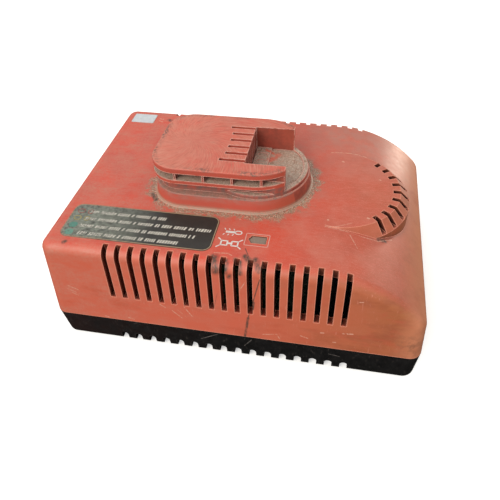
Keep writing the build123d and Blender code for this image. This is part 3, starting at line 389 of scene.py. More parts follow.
dark_marks = scratches(tree, coords, [
    (1.0, (20.6, -82.6, 74.8), (13.3, -85.2, 42.1)),
    (2.2, (13.3, -85.2, 42.1), (11.0, -86.5, 24.9)),
    (7.0, (-6.8, -75.9, 82.6), (-5.1, -82.4, 77.5)), (5.0, (0.8, -78.0, 82.0), (0.2, -82.4, 77.5)),
    (3.6, (5.6, -76.0, 82.4), (2.6, -83.0, 74.0)), (5.0, (10.6, -72.9, 82.6), (14.5, -76.8, 82.3)),
    (5.0, (17.0, -74.6, 82.6), (20.0, -80.9, 80.4)), (4.0, (8.4, -77.6, 82.3), (9.4, -82.4, 77.6)),
    (0.8, (9.5, -66.6, 82.6), (13.5, -74.5, 82.6)),
    (1.8, (17.1, -84.1, 55.9), (16.2, -84.6, 50.0)),
    (3.4, (-100.0, -77.6, 82.4), (-98.9, -77.0, 82.4)),
    (4.6, (-78.6, 67.6, 82.6), (-75.8, 66.6, 82.6)),
    (4.0, (86.1, -39.2, 75.0), (90.4, -37.8, 73.4)),
    (4.0, (-61.0, -25.3, 82.6), (-57.0, -30.6, 82.6)),
    (0.8, (-5.0, -84.1, 60.0), (-8.2, -85.0, 46.0))])
# Pale lines: scuffs on the deck and front, and along the dome's rim a painted highlight.
pale_scuffs_and_glints = scratches(tree, coords, [
    (0.7, (55.5, -40.8, 82.5), (64.6, -41.4, 81.6), (76.8, -42.3, 78.7)),
    (0.9, (76.8, -42.3, 78.7), (86.1, -40.9, 75.2), (94.7, -33.3, 70.7)),
    (0.7, (53.5, -40.5, 82.6), (60.4, -39.5, 82.6)),
    (0.5, (60.4, -39.5, 82.6), (70.1, -34.3, 82.6)),
    (0.9, (51.5, 39.3, 82.6), (58.0, 40.6, 82.2), (64.4, 41.8, 81.6),
     (70.6, 42.4, 80.4), (76.4, 42.2, 78.8)),
    (0.8, (-7.8, -72.7, 82.6), (0.2, -72.1, 82.6), (2.8, -73.3, 82.6)),
    (0.7, (68.7, -43.8, 80.8), (73.6, -53.4, 79.7)),
    (1.8, (54.8, -34.0, 82.6), (55.4, -34.3, 82.6)),
    (1.8, (78.4, -28.8, 82.6), (79.4, -29.1, 82.6)), (1.8, (60.0, 29.4, 82.6), (60.8, 29.1, 82.6)),
    (1.4, (85.2, 11.6, 82.6), (86.0, 11.3, 82.6)),
    (0.7, (20.7, -86.3, 28.3), (31.2, -86.1, 30.4), (33.2, -86.5, 26.0)),
    (0.8, (45.8, -86.0, 32.0), (50.4, -86.1, 30.5)),
    (1.2, (57.8, -85.6, 37.1), (59.6, -85.6, 37.3)),
    (1.4, (71.0, -85.4, 39.0), (76.6, -85.4, 39.5)),
    (0.9, (77.4, -83.3, 66.6), (79.6, -83.3, 66.9)),
    (1.2, (65.8, -86.1, 30.0), (67.4, -86.1, 30.1)),
    (0.8, (8.4, -83.4, 64.4), (11.8, -82.9, 71.0)),
    (0.6, (-103.5, -84.5, 50.5), (-97.0, -84.8, 47.5)),
    (0.6, (-104.5, -84.6, 47.5), (-99.0, -85.0, 45.0)),
    (0.5, (-102.0, -84.9, 44.5), (-98.0, -85.2, 42.5)),
    (0.8, (-43.0, -85.0, 44.0), (-39.6, -85.2, 41.4)),
    (0.7, (-35.4, -85.4, 39.6), (-29.4, -85.9, 33.8)),
    (0.5, (-31.6, -85.4, 40.8), (-26.4, -85.9, 35.2)),
    (0.8, (-27.2, -85.0, 44.1), (-22.6, -85.6, 36.5)),
    (1.2, (-83.2, -86.5, 26.0), (-80.4, -86.5, 25.2)),
    (1.0, (-66.6, -86.4, 27.4), (-63.0, -86.4, 26.4)),
    (1.6, (0.8, -41.4, 82.6), (1.5, -41.6, 82.6)), (1.2, (4.2, -39.6, 82.6), (5.4, -38.4, 82.6)),
    (1.4, (13.4, -40.3, 82.6), (14.2, -40.3, 82.6)),
    (0.6, (53.3, -39.0, 82.6), (62.5, -40.3, 82.2)),
    (1.5, (-86.2, 68.6, 82.6), (-83.4, 68.2, 82.6)),
    (1.6, (-85.8, 65.6, 82.6), (-82.8, 64.2, 82.6))])
broken = patches(tree, coords, 1.1 * mm, 0.38, 0.52, detail=3.0)
smudged = patches(tree, coords, 1.6 * mm, 0.22, 0.56, stretch=(1, 0.7, 0.5), detail=5.0)
corner_grime = product(tree, band(tree, x, 104 * mm, 117 * mm, 5 * mm),
                       band(tree, z, 28 * mm, 42 * mm, 6 * mm),
                       band(tree, y, -95 * mm, -70 * mm, 6 * mm),
                       patches(tree, coords, 4 * mm, 0.42, 0.62))
to_back = add(tree, "ShaderNodeMapRange", {"Value": y, "From Min": 5 * mm,
                                           "From Max": 60 * mm})
to_fan = add(tree, "ShaderNodeMapRange", {"Value": x, "From Min": 15 * mm,
                                          "From Max": 50 * mm, "To Max": 0.65})
back_dust = product(tree, upward(tree), to_back, to_fan,
                    patches(tree, coords, 8 * mm, 0.20, 0.60))
# Pale edges: part rubbed wear, part painted highlight.
edges = product(tree, edge_rub_and_glint(tree, 0.9 * mm), patches(tree, coords, 3 * mm, 0.15, 0.45))
streaks = patches(tree, coords, 1.2 * mm, 0.60, 0.74, stretch=(1, 1, 0.14), turn=(0, 0.7, 0))
rubbed = product(tree, streaks, patches(tree, coords, 17 * mm, 0.42, 0.60),
                 inverse(tree, upward(tree)))
# Corners that the occlusion test finds are darkened brown: painted shade with grime.
corner_shade_and_dirt = product(tree, crevice(tree, 2.2 * mm, 0.25, 0.75),
                       patches(tree, coords, 2 * mm, 0.3, 0.6))
# Painted shade: the walls inside the front vents, behind the front face where the occlusion test
# finds a corner, are painted near black.
front_at_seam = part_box("upper_shell")[0][1]
lean = tan(wall_draft)
front = add(tree, "ShaderNodeMath", {0: z, 1: lean, 2: front_at_seam - seam_z * lean},
            operation="MULTIPLY_ADD")
behind = add(tree, "ShaderNodeMath", {0: y, 1: front}, operation="SUBTRACT")
slot_side = add(tree, "ShaderNodeMapRange",
                {"Value": behind, "From Min": 0.25 * mm, "From Max": 1.1 * mm})
in_rows = product(tree, band(tree, z, 30 * mm, deck_z - 0.5 * mm, 0.3 * mm),
                  crevice(tree, 5 * mm, 0.42, 0.90))
painted_slot_shade = product(tree, slot_side, in_rows)
# Painted shade: the walls inside the dome's louvres, where the occlusion test finds a corner, are
# painted near black.
from_fan = add(tree, "ShaderNodeVectorMath", {0: coords, 1: (fan_x, 0, deck_z)},
               operation="DISTANCE")
painted_louvre_shade = product(tree, band(tree, from_fan.outputs["Value"], *louvre_reach, 1 * mm),
                  crevice(tree, 5 * mm, 0.45, 0.80))
# Painted highlight: a pale tan laid over the sloping right end, stronger towards the end, where
# light grazes it.
to_end = add(tree, "ShaderNodeMapRange", {"Value": x, "From Min": 100 * mm, "From Max": 118 * mm,
                                          "To Max": 0.85})
painted_end_highlight = product(tree, to_end, patches(tree, coords, 12 * mm, 0.10, 0.50))
colour = paint(tree, faded_red(tree, coords, "#cd6249"), [
    (dust, "#cf7a66"),
    (side_dust, "#c67c68"),
    (fine_dust, "#d9907d"),
    (dusty_halo, "#b5796a"),
    (back_dust, "#b17c6e"),
    (dirt_ring, "#85705c"),
    (pale_grains, "#cbb7a0"),
    (product(tree, corner_shade_and_dirt, broken), "#7a4a3a"),
    (rubbed, "#cf806a"),
    (painted_end_highlight, "#d68d69"),
    (corner_grime, "#935f45"),
    (painted_slot_shade, "#3c1a10"),
    (painted_louvre_shade, "#43201a"),
    (edges, "#e8987f"),
    (product(tree, dark_marks, smudged), "#574339"),
    (product(tree, pale_scuffs_and_glints, broken), "#d9a08a")])
gloss = patches(tree, coords, 4 * mm, 0.2, 0.8, stretch=(0.4, 1, 1))
grain = add(tree, "ShaderNodeTexNoise", {"Vector": coords, "Scale": 1 / (0.45 * mm), "Detail": 3.0})
coat(tree, shader, colour, gloss, (0.42, 0.54), grain, 0.12, 0.15 * mm, IOR=abs_ior)
dress(cover, red_abs)
soften(cover, 0.45 * mm)

# ---- battery dock -----------------------------------------------------------------------
# A second red moulding, screwed on the deck from inside. The pack's rails run in its two
# grooves, so its top is finely scored, and dust lies on every ledge that nothing wipes.
# Painted shade darkens its pocket walls, open cells, rail groove and corners, and its pale
# edges are part rubbed, part painted highlight.
dock_red, tree, shader, coords = new_material("dusty_red_abs")
x, y, z = add(tree, "ShaderNodeSeparateXYZ", {0: coords}).outputs
above = add(tree, "ShaderNodeMath", {0: z, 1: deck_z}, operation="SUBTRACT")
dock_height = dock_high[2] - deck_z
ring_rim = (6.4 * mm, 9.6 * mm)          # heights above the deck
rail_groove = (8.6 * mm, 16.2 * mm)
open_cells = (18.6 * mm, 24.0 * mm)
rail_left, rail_half, rail_corner = -59.4 * mm, 32.9 * mm, 18 * mm
pocket_left, pocket_half = 0.5 * mm, 21.6 * mm
plate_top = band(tree, above, dock_height - 1 * mm, dock_height + 1 * mm, 0.2 * mm)
ledges = product(tree, upward(tree, 0.8, 0.97),
                 band(tree, above, 8 * mm, dock_height - 4 * mm, 0.5 * mm))
rail_gap = distance_out(tree, coords, rail_left, rail_half, rail_corner, dock_arc_x)
in_pocket = product(tree, band(tree, x, pocket_left, 60 * mm, 0.1 * mm),
                    band(tree, y, -pocket_half, pocket_half, 0.3 * mm))
outside = inverse(tree, in_pocket)
# Painted shade: the pocket's upright walls are painted dark red-brown.
painted_pocket_shade = product(tree, in_pocket, inverse(tree, upward(tree)))
left_half = add(tree, "ShaderNodeMapRange", {"Value": x, "From Min": 40 * mm, "From Max": 0.0})
ring_dust = product(tree, band(tree, above, *ring_rim, 1.8 * mm), left_half,
                    patches(tree, coords, 6 * mm, 0.30, 0.75, stretch=(1, 1, 2)))
rim_zone = band(tree, rail_gap, -3.0 * mm, 1.0 * mm, 1.2 * mm)
# Dusty grey over the whole rail groove band: dust on its ledge, painted shade on its back wall and
# the flange's underside.
groove = product(tree, outside, band(tree, above, *rail_groove, 0.3 * mm))
# Darker brown over the open cells under the top plate: painted shade.
cells = product(tree, outside, band(tree, above, *open_cells, 0.3 * mm))
foot_dirt = product(tree, band(tree, above, -1 * mm, 1.6 * mm, 1.2 * mm),
                    patches(tree, coords, 0.9 * mm, 0.25, 0.50, detail=2.0))
score_centre = Vector((-38, 0, 110)) * mm
from_middle = add(tree, "ShaderNodeVectorMath", {0: coords, 1: score_centre}, operation="SUBTRACT")
plan = add(tree, "ShaderNodeSeparateXYZ", {0: from_middle})
angle = add(tree, "ShaderNodeMath", {0: plan.outputs["Y"], 1: plan.outputs["X"]},
            operation="ARCTAN2")
radius = add(tree, "ShaderNodeVectorMath", {0: from_middle}, operation="LENGTH")
twist_rate = 22.0             # radians that the score lines turn in a metre
twist = add(tree, "ShaderNodeMath", {0: radius.outputs["Value"], 1: twist_rate, 2: angle},
            operation="MULTIPLY_ADD")
polar = add(tree, "ShaderNodeCombineXYZ", {0: twist, 1: radius.outputs["Value"]})
swirl = patches(tree, polar, 0.020, 0.47, 0.70, stretch=(1, 2.2, 1), detail=3.0)
cross = patches(tree, polar, 0.028, 0.50, 0.74, stretch=(1, 4, 1), turn=(0, 0, 0.12),
                detail=3.0)
rim_dirt = product(tree, plate_top, rim_zone, patches(tree, coords, 1.4 * mm, 0.40, 0.62),
                   patches(tree, coords, 16 * mm, 0.42, 0.60))
dust = product(tree, upward(tree), patches(tree, coords, 14 * mm, 0.25, 0.75))
on_top = add(tree, "ShaderNodeMapRange", {"Value": above, "From Min": 7 * mm, "From Max": 12 * mm,
                                          "To Min": 0.3})
# Pale edges on the upper part: part rubbed wear, part painted highlight.
edges = product(tree, edge_rub_and_glint(tree, 0.9 * mm), patches(tree, coords, 4 * mm, 0.30, 0.50),
                on_top)
# Corners that the occlusion test finds are darkened brown: painted shade with grime.
corner_shade_and_dirt = product(tree, crevice(tree, 3.0 * mm, 0.2, 0.8),
                       patches(tree, coords, 2 * mm, 0.25, 0.6))
left_end = add(tree, "ShaderNodeMapRange", {"Value": x, "From Min": -12 * mm, "From Max": -55 * mm,
                                            "To Max": 0.8})
bloom = product(tree, upward(tree), patches(tree, coords, 5 * mm, 0.2, 0.7), left_end)
wiped = product(tree, patches(tree, coords, 2.5 * mm, 0.30, 0.45),
                scratches(tree, coords, [(4.0, (8.6, 17.7, 94.4), (13.0, 16.0, 94.0)),
                                         (7.0, (12.5, 7.5, 94.0), (16.5, 14.5, 94.0))]))
bare_ledges = add(tree, "ShaderNodeMath", {0: ledges, 1: wiped}, operation="SUBTRACT",
                  use_clamp=True)
in_recess = add(tree, "ShaderNodeMapRange", {"Value": above, "From Min": 10 * mm,
                                             "From Max": 11 * mm, "To Min": 0.35})
ledge_dust = product(tree, bare_ledges, in_recess)
colour = paint(tree, faded_red(tree, coords, "#bb5140"), [
    (dust, "#cb7a67"),
    (bloom, "#de917c"),
    (product(tree, swirl, upward(tree)), "#d68d78"),
    (product(tree, cross, upward(tree)), "#b5604b"),
    (product(tree, groove, patches(tree, coords, 3 * mm, 0.25, 0.6)), "#7d5c54"),
    (product(tree, cells, patches(tree, coords, 4 * mm, 0.25, 0.7)), "#6b4a42"),
    (product(tree, ledge_dust, patches(tree, coords, 2.4 * mm, 0.15, 0.45)), "#ab9484"),
    (product(tree, ledge_dust, patches(tree, coords, 3.0 * mm, 0.50, 0.65)), "#96715e"),
    (product(tree, ledge_dust, patches(tree, coords, 0.8 * mm, 0.52, 0.62, detail=2.0)), "#cbb6a2"),
    (product(tree, painted_pocket_shade, patches(tree, coords, 6 * mm, 0.1, 0.7)), "#863f31"),
    (ring_dust, "#a5766a"),
    (corner_shade_and_dirt, "#5f4238"),
    (foot_dirt, "#9a8672"),
    (rim_dirt, "#74564a"),
    (edges, "#edb3a3")])
gloss = patches(tree, coords, 6 * mm, 0.3, 0.7)
scored = add(tree, "ShaderNodeMath", {0: swirl, 1: cross}, operation="ADD")
coat(tree, shader, colour, gloss, (0.45, 0.65), scored, 0.15, 0.1 * mm, IOR=abs_ior)
dress(dock, dock_red)
soften(dock, 0.35 * mm)

# ---- black base -------------------------------------------------------------------------
# The lower half of the housing, moulded in black ABS, with teeth along its front and back
# walls and air notches between them, cut here to their full height. It is scuffed where it
# was pushed about, and brownish with dust on the left.
black_abs, tree, shader, coords = new_material("scuffed_black_abs")
x, y, z = add(tree, "ShaderNodeSeparateXYZ", {0: coords}).outputs
brown = add(tree, "ShaderNodeMapRange", {"Value": x, "From Min": -10 * mm,
                                         "From Max": -110 * mm, "To Max": 0.9})
scuffs = scratches(tree, coords, [
    (1.0, (-73.5, -84.8, 15.0), (-61.8, -86.2, 23.0)),
    (0.9, (-19.0, -85.6, 14.1), (-7.2, -86.6, 22.4)),
    (0.8, (9.8, -85.4, 12.6), (14.9, -86.3, 21.1)),
    (0.7, (64.0, -86.0, 17.0), (71.0, -86.0, 15.6))])
rub = patches(tree, coords, 1.2 * mm, 0.60, 0.74, stretch=(1, 1, 0.25), turn=(0, 0.7, 0))
edges = product(tree, edge_rub_and_glint(tree, 0.8 * mm), patches(tree, coords, 3 * mm, 0.40, 0.6))
colour = paint(tree, linear("#101011"), [
    (brown, "#251716"),
    (patches(tree, coords, 10 * mm, 0.45, 0.7), "#171617"),
    (rub, "#453f3c"),
    (product(tree, scuffs, patches(tree, coords, 1.5 * mm, 0.35, 0.6)), "#77706c"),
    (edges, "#4a4543")])
gloss = patches(tree, coords, 5 * mm, 0.3, 0.7)
grain = add(tree, "ShaderNodeTexNoise", {"Vector": coords, "Scale": 1 / (0.5 * mm), "Detail": 3.0})
coat(tree, shader, colour, gloss, (0.36, 0.58), grain, 0.15, 0.15 * mm, IOR=abs_ior)


def prism(work, near, far):
    """Adds a closed block between two outlines of equally many points to a bmesh."""
    work.faces.new(near)
    work.faces.new(far[::-1])
    for a, b, c, d in zip(near, near[1:] + near[:1], far[1:] + far[:1], far):
        work.faces.new((a, b, c, d))


def settled(item):
    """The mesh of an object with its modifiers carried out."""
    graph = bpy.context.evaluated_depsgraph_get()
    return bpy.data.meshes.new_from_object(item.evaluated_get(graph), depsgraph=graph)


def cut_out(blank_mesh, work):
    """The blank without the closed forms in a bmesh, as a new mesh."""
    bmesh.ops.recalc_face_normals(work, faces=work.faces)
    tool_mesh = bpy.data.meshes.new("cutter")
    work.to_mesh(tool_mesh)
    work.free()
    tool, blank = new_object("cutter", tool_mesh), new_object("blank", blank_mesh)
    weld = blank.modifiers.new("weld", "WELD")
    weld.merge_threshold = weld_gap
    cut = blank.modifiers.new("cut", "BOOLEAN")
    cut.operation = "DIFFERENCE"
    cut.object = tool
    mesh = settled(blank)
    for item in (tool, blank):
        bpy.data.objects.remove(item)
    return mesh


base_low, base_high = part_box("lower_shell")
notch_count, notch_pitch = 16, 9.88 * mm
notch_half, notch_top = 2.4 * mm, 8.0 * mm
notch_end_y = 77.6 * mm       # from the middle of the base to the inner end of a notch
overshoot = 1 * mm            # how far the cutter reaches past the walls
arch = [(notch_half, -2 * overshoot), (-notch_half, -2 * overshoot)]
arch += [(-notch_half * cos(radians(a)), notch_top - notch_half + notch_half * sin(radians(a)))
         for a in range(0, 181, 15)]
comb = bmesh.new()
for side in (-1, 1):
    for n in range(notch_count):
        x = (n - (notch_count - 1) / 2) * notch_pitch
        prism(comb, *[[comb.verts.new((x + u, side * y, base_low[2] + v)) for u, v in arch]
                      for y in (notch_end_y, base_high[1] + overshoot)])
base_mesh = cut_out(nodes["lower_shell"].data, comb)
base_mesh.materials.clear()
base_mesh.materials.append(black_abs)
toothed_base = new_object("toothed_base", base_mesh)
soften(toothed_base, 0.35 * mm)
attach(toothed_base, "charger")
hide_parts("lower_shell")


# ---- inner parts ------------------------------------------------------------------------
# What the housing holds: contacts, board, transformer, capacitors, sink, fan and leads, each
# in the finish that its maker gives it, with a little dust from the air that the fan draws.
def finish(name, pieces, base, other, size, roughness, metallic=0.0, stretch=(1, 1, 1), relief=0.1):
    """A material of two close tones in patches of the given size, with the same relief."""
    material, tree, shader, coords = new_material(name)
    tone = patches(tree, coords, size * mm, 0.35, 0.65, stretch=stretch)
    dust = product(tree, upward(tree), patches(tree, coords, 2 * mm, 0.45, 0.8))
    colour = paint(tree, linear(base), [(tone, other), (dust, "#8f867c")])
    coat(tree, shader, colour, tone, (roughness, roughness + 0.12), tone, relief, 0.1 * mm,
         Metallic=metallic)
    for piece in pieces:
        dress(nodes[piece], material)
        soften(nodes[piece], 0.12 * mm)
    return material


finish("black_pbt_moulding", ["contact_block", "transformer_bobbin", "fan_frame", "fan_rotor"],
       "#141415", "#1d1d1e", 2.0, 0.45)
finish("nickel_plated_brass", ["contact_blades", "inlet_pins"],
       "#b9b2a2", "#a39a86", 1.5, 0.25, 1.0, stretch=(1, 1, 0.1))
finish("epoxy_lamp", ["status_led"], "#d8ddd6", "#cfd6ce", 1.0, 0.25)
finish("nitrile_rubber", ["rubber_feet"], "#161616", "#202020", 0.8, 0.75)
zinc = finish("zinc_plated_steel", ["dock_screws", "fan_screws", "board_screws"], "#b5b6b2",
              "#9fa19c", 0.6, 0.3, 1.0)
finish("green_solder_mask", ["circuit_board"], "#1d4a30", "#183f28", 3.0, 0.4)
finish("sintered_ferrite", ["transformer_core", "choke_core", "fan_magnet"],
       "#2b2b2d", "#38383a", 0.5, 0.6)
finish("polyester_tape", ["transformer_winding"], "#c8a128", "#b98f1e", 1.2, 0.3,
       stretch=(0.1, 0.1, 1))
finish("extruded_aluminium", ["heat_sink"], "#b9bcc0", "#a9acb1", 0.5, 0.35, 1.0,
       stretch=(1, 1, 0.05))
finish("moulded_epoxy", ["power_transistors", "bridge_rectifier", "control_chips"],
       "#161617", "#1f1f21", 0.4, 0.5)
finish("blue_shrink_sleeve", ["mains_capacitor"], "#16294f", "#1c3160", 2.0, 0.28)
finish("black_shrink_sleeve", ["output_capacitors"], "#15161b", "#1d1e24", 2.0, 0.28)
finish("enamelled_copper_wire", ["choke_windings", "fan_stator"],
       "#a4502a", "#7d3618", 0.5, 0.3, 0.6, stretch=(1, 0.1, 0.1), relief=0.4)
finish("glazed_ceramic", ["mains_fuse"], "#d8d3c6", "#cbc5b6", 1.5, 0.3)
finish("tinned_brass", ["fuse_clips"], "#b7a877", "#9f9062", 0.8, 0.3, 1.0)
finish("blue_relay_case", ["output_relay"], "#1c4286", "#204a94", 2.5, 0.3)
finish("sintered_bronze", ["fan_bearing"], "#8b6a3e", "#76582f", 0.4, 0.5, 1.0)
finish("ground_steel", ["fan_shaft"], "#a7a8aa", "#94969a", 0.4, 0.22, 1.0)
finish("black_inlet_moulding", ["mains_inlet"], "#121213", "#1a1a1b", 1.2, 0.4)
finish("red_pvc_insulation", ["contact_leads", "fan_leads", "mains_leads"],
       "#8f1e18", "#7a1612", 2.0, 0.4)

# ---- status window ------------------------------------------------------------------------
# A clear acrylic guide fills the opening in the deck and carries the lamp's light up from the
# board. Its top is hazy with fine scratches, so it reads as grey.
guide_acrylic, tree, shader, coords = new_material("hazy_acrylic")
haze = patches(tree, coords, 1.0 * mm, 0.35, 0.65)
# Brown round the guide's rim, where the occlusion test finds a corner: grime with painted shade.
guide_grime_and_shade = crevice(tree, 1.5 * mm, 0.3, 0.95)
colour = paint(tree, linear("#9a8a7c"), [(haze, "#a8988a"), (guide_grime_and_shade, "#6e5a50")])
feed(tree, shader, {"Base Color": colour, "Roughness": 0.38, "IOR": 1.49,
                    "Transmission Weight": 0.25})
dress(nodes["light_guide"], guide_acrylic)
soften(nodes["light_guide"], 0.15 * mm)

# ---- label, its print and the pictograms ----------------------------------------------------
# A printed polyester film stuck on the deck. Four rows of slanted strokes stand where the real
# one explains its lamp, each after a coloured lamp mark. The left part is scratched through.
label_low, label_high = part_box("status_label")
film, tree, shader, coords = new_material("scratched_black_film")
x, y, z = add(tree, "ShaderNodeSeparateXYZ", {0: coords}).outputs
worn_side = add(tree, "ShaderNodeMapRange", {"Value": x, "From Min": -50 * mm,
                                             "From Max": -92 * mm})
mottle = patches(tree, coords, 2.2 * mm, 0.36, 0.60, turn=(0, 0, 0.6))
coarse = patches(tree, coords, 7 * mm, 0.35, 0.6)
bare = product(tree, worn_side, mottle)
colour = paint(tree, linear("#2d2c29"), [
    (patches(tree, coords, 5 * mm, 0.4, 0.7), "#33322e"),
    (product(tree, worn_side, coarse), "#6f7468"),
    (bare, "#8b9287"),
    (product(tree, bare, patches(tree, coords, 1.0 * mm, 0.5, 0.7)), "#39382f")])
gloss = add(tree, "ShaderNodeMapRange", {"Value": bare, "To Min": 0.38, "To Max": 0.7})
feed(tree, shader, {"Base Color": colour, "Roughness": gloss, "IOR": 1.57})
dress(nodes["status_label"], film)
print_lift = 0.06 * mm


def ink(name, code, wear_low, wear_high):
    """Screen-printed ink, broken where it has been rubbed."""
    material, tree, shader, coords = new_material(name)
    tone = patches(tree, coords, 0.9 * mm, 0.3, 0.7)
    gone = patches(tree, coords, 1.3 * mm, wear_low, wear_high, detail=3.0)
    x, y, z = add(tree, "ShaderNodeSeparateXYZ", {0: coords}).outputs
    left = add(tree, "ShaderNodeMapRange", {"Value": x, "From Min": -45 * mm,
                                            "From Max": -90 * mm, "To Max": 0.85})
    fade = product(tree, left, gone)
    base = linear(code)
    dull = [c * 0.75 for c in base[:3]] + [1.0]
    toned = add(tree, "ShaderNodeMix", {0: tone, 6: base, 7: dull}, data_type="RGBA")
    colour = paint(tree, toned.outputs[2], [(fade, "#5d6057")])
    feed(tree, shader, {"Base Color": colour, "Roughness": 0.55})
    return material


def node_group(name, inputs):
    """A geometry node group that takes points and the given inputs, each of its kind."""
    tree = bpy.data.node_groups.new(name, "GeometryNodeTree")
    for socket, kind in {"Geometry": "Geometry", **inputs}.items():
        tree.interface.new_socket(socket, in_out="INPUT", socket_type="NodeSocket" + kind)
    tree.interface.new_socket("Geometry", in_out="OUTPUT", socket_type="NodeSocketGeometry")
    return tree, add(tree, "NodeGroupInput").outputs


letter_tree, given = node_group("printed_strokes", {
    "Width": "Float", "Height": "Float", "Slant": "Float", "Thickness": "Float",
    "Ink": "Material"})
outline = add(letter_tree, "GeometryNodeCurvePrimitiveQuadrilateral",
              {"Width": given["Width"], "Height": given["Height"], "Offset": given["Slant"]},
              mode="PARALLELOGRAM")
stroke_face = add(letter_tree, "GeometryNodeFillCurve", {"Curve": outline}, mode="NGONS")
stretch = add(letter_tree, "GeometryNodeInputNamedAttribute", {"Name": "stretch"},
              data_type="FLOAT_VECTOR")
strokes = add(letter_tree, "GeometryNodeInstanceOnPoints",
              {"Points": given["Geometry"], "Instance": stroke_face, "Scale": stretch})
sheet = add(letter_tree, "GeometryNodeRealizeInstances", {"Geometry": strokes})
raised = add(letter_tree, "GeometryNodeExtrudeMesh",
             {"Mesh": sheet, "Offset Scale": given["Thickness"]})
under = add(letter_tree, "GeometryNodeFlipFaces", {"Mesh": sheet})
both = add(letter_tree, "GeometryNodeJoinGeometry")
letter_tree.links.new(raised.outputs["Mesh"], both.inputs[0])
letter_tree.links.new(under.outputs[0], both.inputs[0])
closed = add(letter_tree, "GeometryNodeMergeByDistance", {"Geometry": both, "Distance": weld_gap})
printed = add(letter_tree, "GeometryNodeSetMaterial",
              {"Geometry": closed, "Material": given["Ink"]})
add(letter_tree, "NodeGroupOutput", {"Geometry": printed})


def grow(name, points, attribute, values, group, inputs):
    """Runs a node group on points that carry one attribute, and keeps the result as a mesh."""
    seed = bpy.data.meshes.new(name)
    seed.from_pydata(points, [], [])
    layer = seed.attributes.new(attribute, "FLOAT_VECTOR", "POINT")
    layer.data.foreach_set("vector", [part for value in values for part in value])
    holder = new_object(name + "_points", seed)
    modifier = holder.modifiers.new("grow", "NODES")
    modifier.node_group = group
    for socket in group.interface.items_tree:
        if socket.in_out == "INPUT" and socket.name in inputs:
            modifier[socket.identifier] = inputs[socket.name]
    mesh = settled(holder)
    bpy.data.objects.remove(holder)
    return new_object(name, mesh)


row_pitch = 6.6 * mm
first_row = label_high[1] - 7.0 * mm
letter_gap, word_gap = 0.45, 1.1
# Each row: where it starts and ends along the label in millimetres, and its words' lengths.
rows = [(-94.3, -42.6, (4, 7, 5, 1, 7, 2, 4)), (-95.4, -12.1, (5, 8, 5, 1, 6, 2, 4, 5, 2, 6)),
        (-96.1, -20.8, (6, 5, 5, 1, 6, 2, 8, 8, 1, 1)), (-94.6, -29.5, (4, 6, 5, 1, 6, 2, 5, 8))]
stroke_widths, stroke_heights = (0.7, 0.9, 1.1), (0.85, 1.0, 1.0)
chance = Random(11)
points, stretches = [], []
for n, (start, end, words) in enumerate(rows):
    letters = [[(chance.choice(stroke_widths), chance.choice(stroke_heights)) for _ in range(count)]
               for count in words]
    ink_length = (sum(wide + letter_gap for word in letters for wide, tall in word)
                  + word_gap * len(words))
    pitch = (end - start) / ink_length
    x = start
    for word in letters:
        for wide, tall in word:
            points.append(((x + wide * pitch / 2) * mm, first_row - n * row_pitch, label_high[2]))
            stretches.append((wide * pitch, tall, 1.0))
            x += (wide + letter_gap) * pitch
        x += word_gap * pitch
white_ink = ink("pale_label_ink", "#dcd8cc", 0.45, 0.60)
label_rows = grow("label_rows", points, "stretch", stretches, letter_tree,
                  {"Width": 1.0 * mm, "Height": 2.7 * mm, "Slant": 0.7 * mm,
                   "Thickness": print_lift, "Ink": white_ink})
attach(label_rows, "charger")


def flat_piece(name, outlines, z, material, thickness=print_lift):
    """A thin piece of print, from closed outlines in millimetres."""
    work = bmesh.new()
    for outline in outlines:
        work.faces.new([work.verts.new((x * mm, y * mm, z)) for x, y in outline])
    bmesh.ops.recalc_face_normals(work, faces=work.faces)
    for face in work.faces:
        if face.normal.z < 0:
            face.normal_flip()
    block = bmesh.ops.extrude_face_region(work, geom=work.faces[:])
    raised = [item for item in block["geom"] if isinstance(item, bmesh.types.BMVert)]
    bmesh.ops.translate(work, verts=raised, vec=(0, 0, thickness))
    bmesh.ops.recalc_face_normals(work, faces=work.faces)
    mesh = bpy.data.meshes.new(name)
    work.to_mesh(mesh)
    work.free()
    mesh.materials.append(material)
    piece = new_object(name, mesh)
    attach(piece, "charger")


def rounded(x0, y0, x1, y1, radius, steps=8):
    """Rectangle with rounded corners, as points in order."""
    points = []
    for cx, cy, turn in ((x1 - radius, y1 - radius, 0), (x0 + radius, y1 - radius, 90),
                         (x0 + radius, y0 + radius, 180), (x1 - radius, y0 + radius, 270)):
        for n in range(steps + 1):
            angle = radians(turn + 90 * n / steps)
            points.append((cx + radius * cos(angle), cy + radius * sin(angle)))
    return points


def frame_strips(x0, y0, x1, y1, radius, width):
    """Quads along a rounded rectangle's line."""
    outer = rounded(x0, y0, x1, y1, radius)
    inner = rounded(x0 + width, y0 + width, x1 - width, y1 - width, radius - width)
    return list(zip(outer, outer[1:] + outer[:1], inner[1:] + inner[:1], inner))


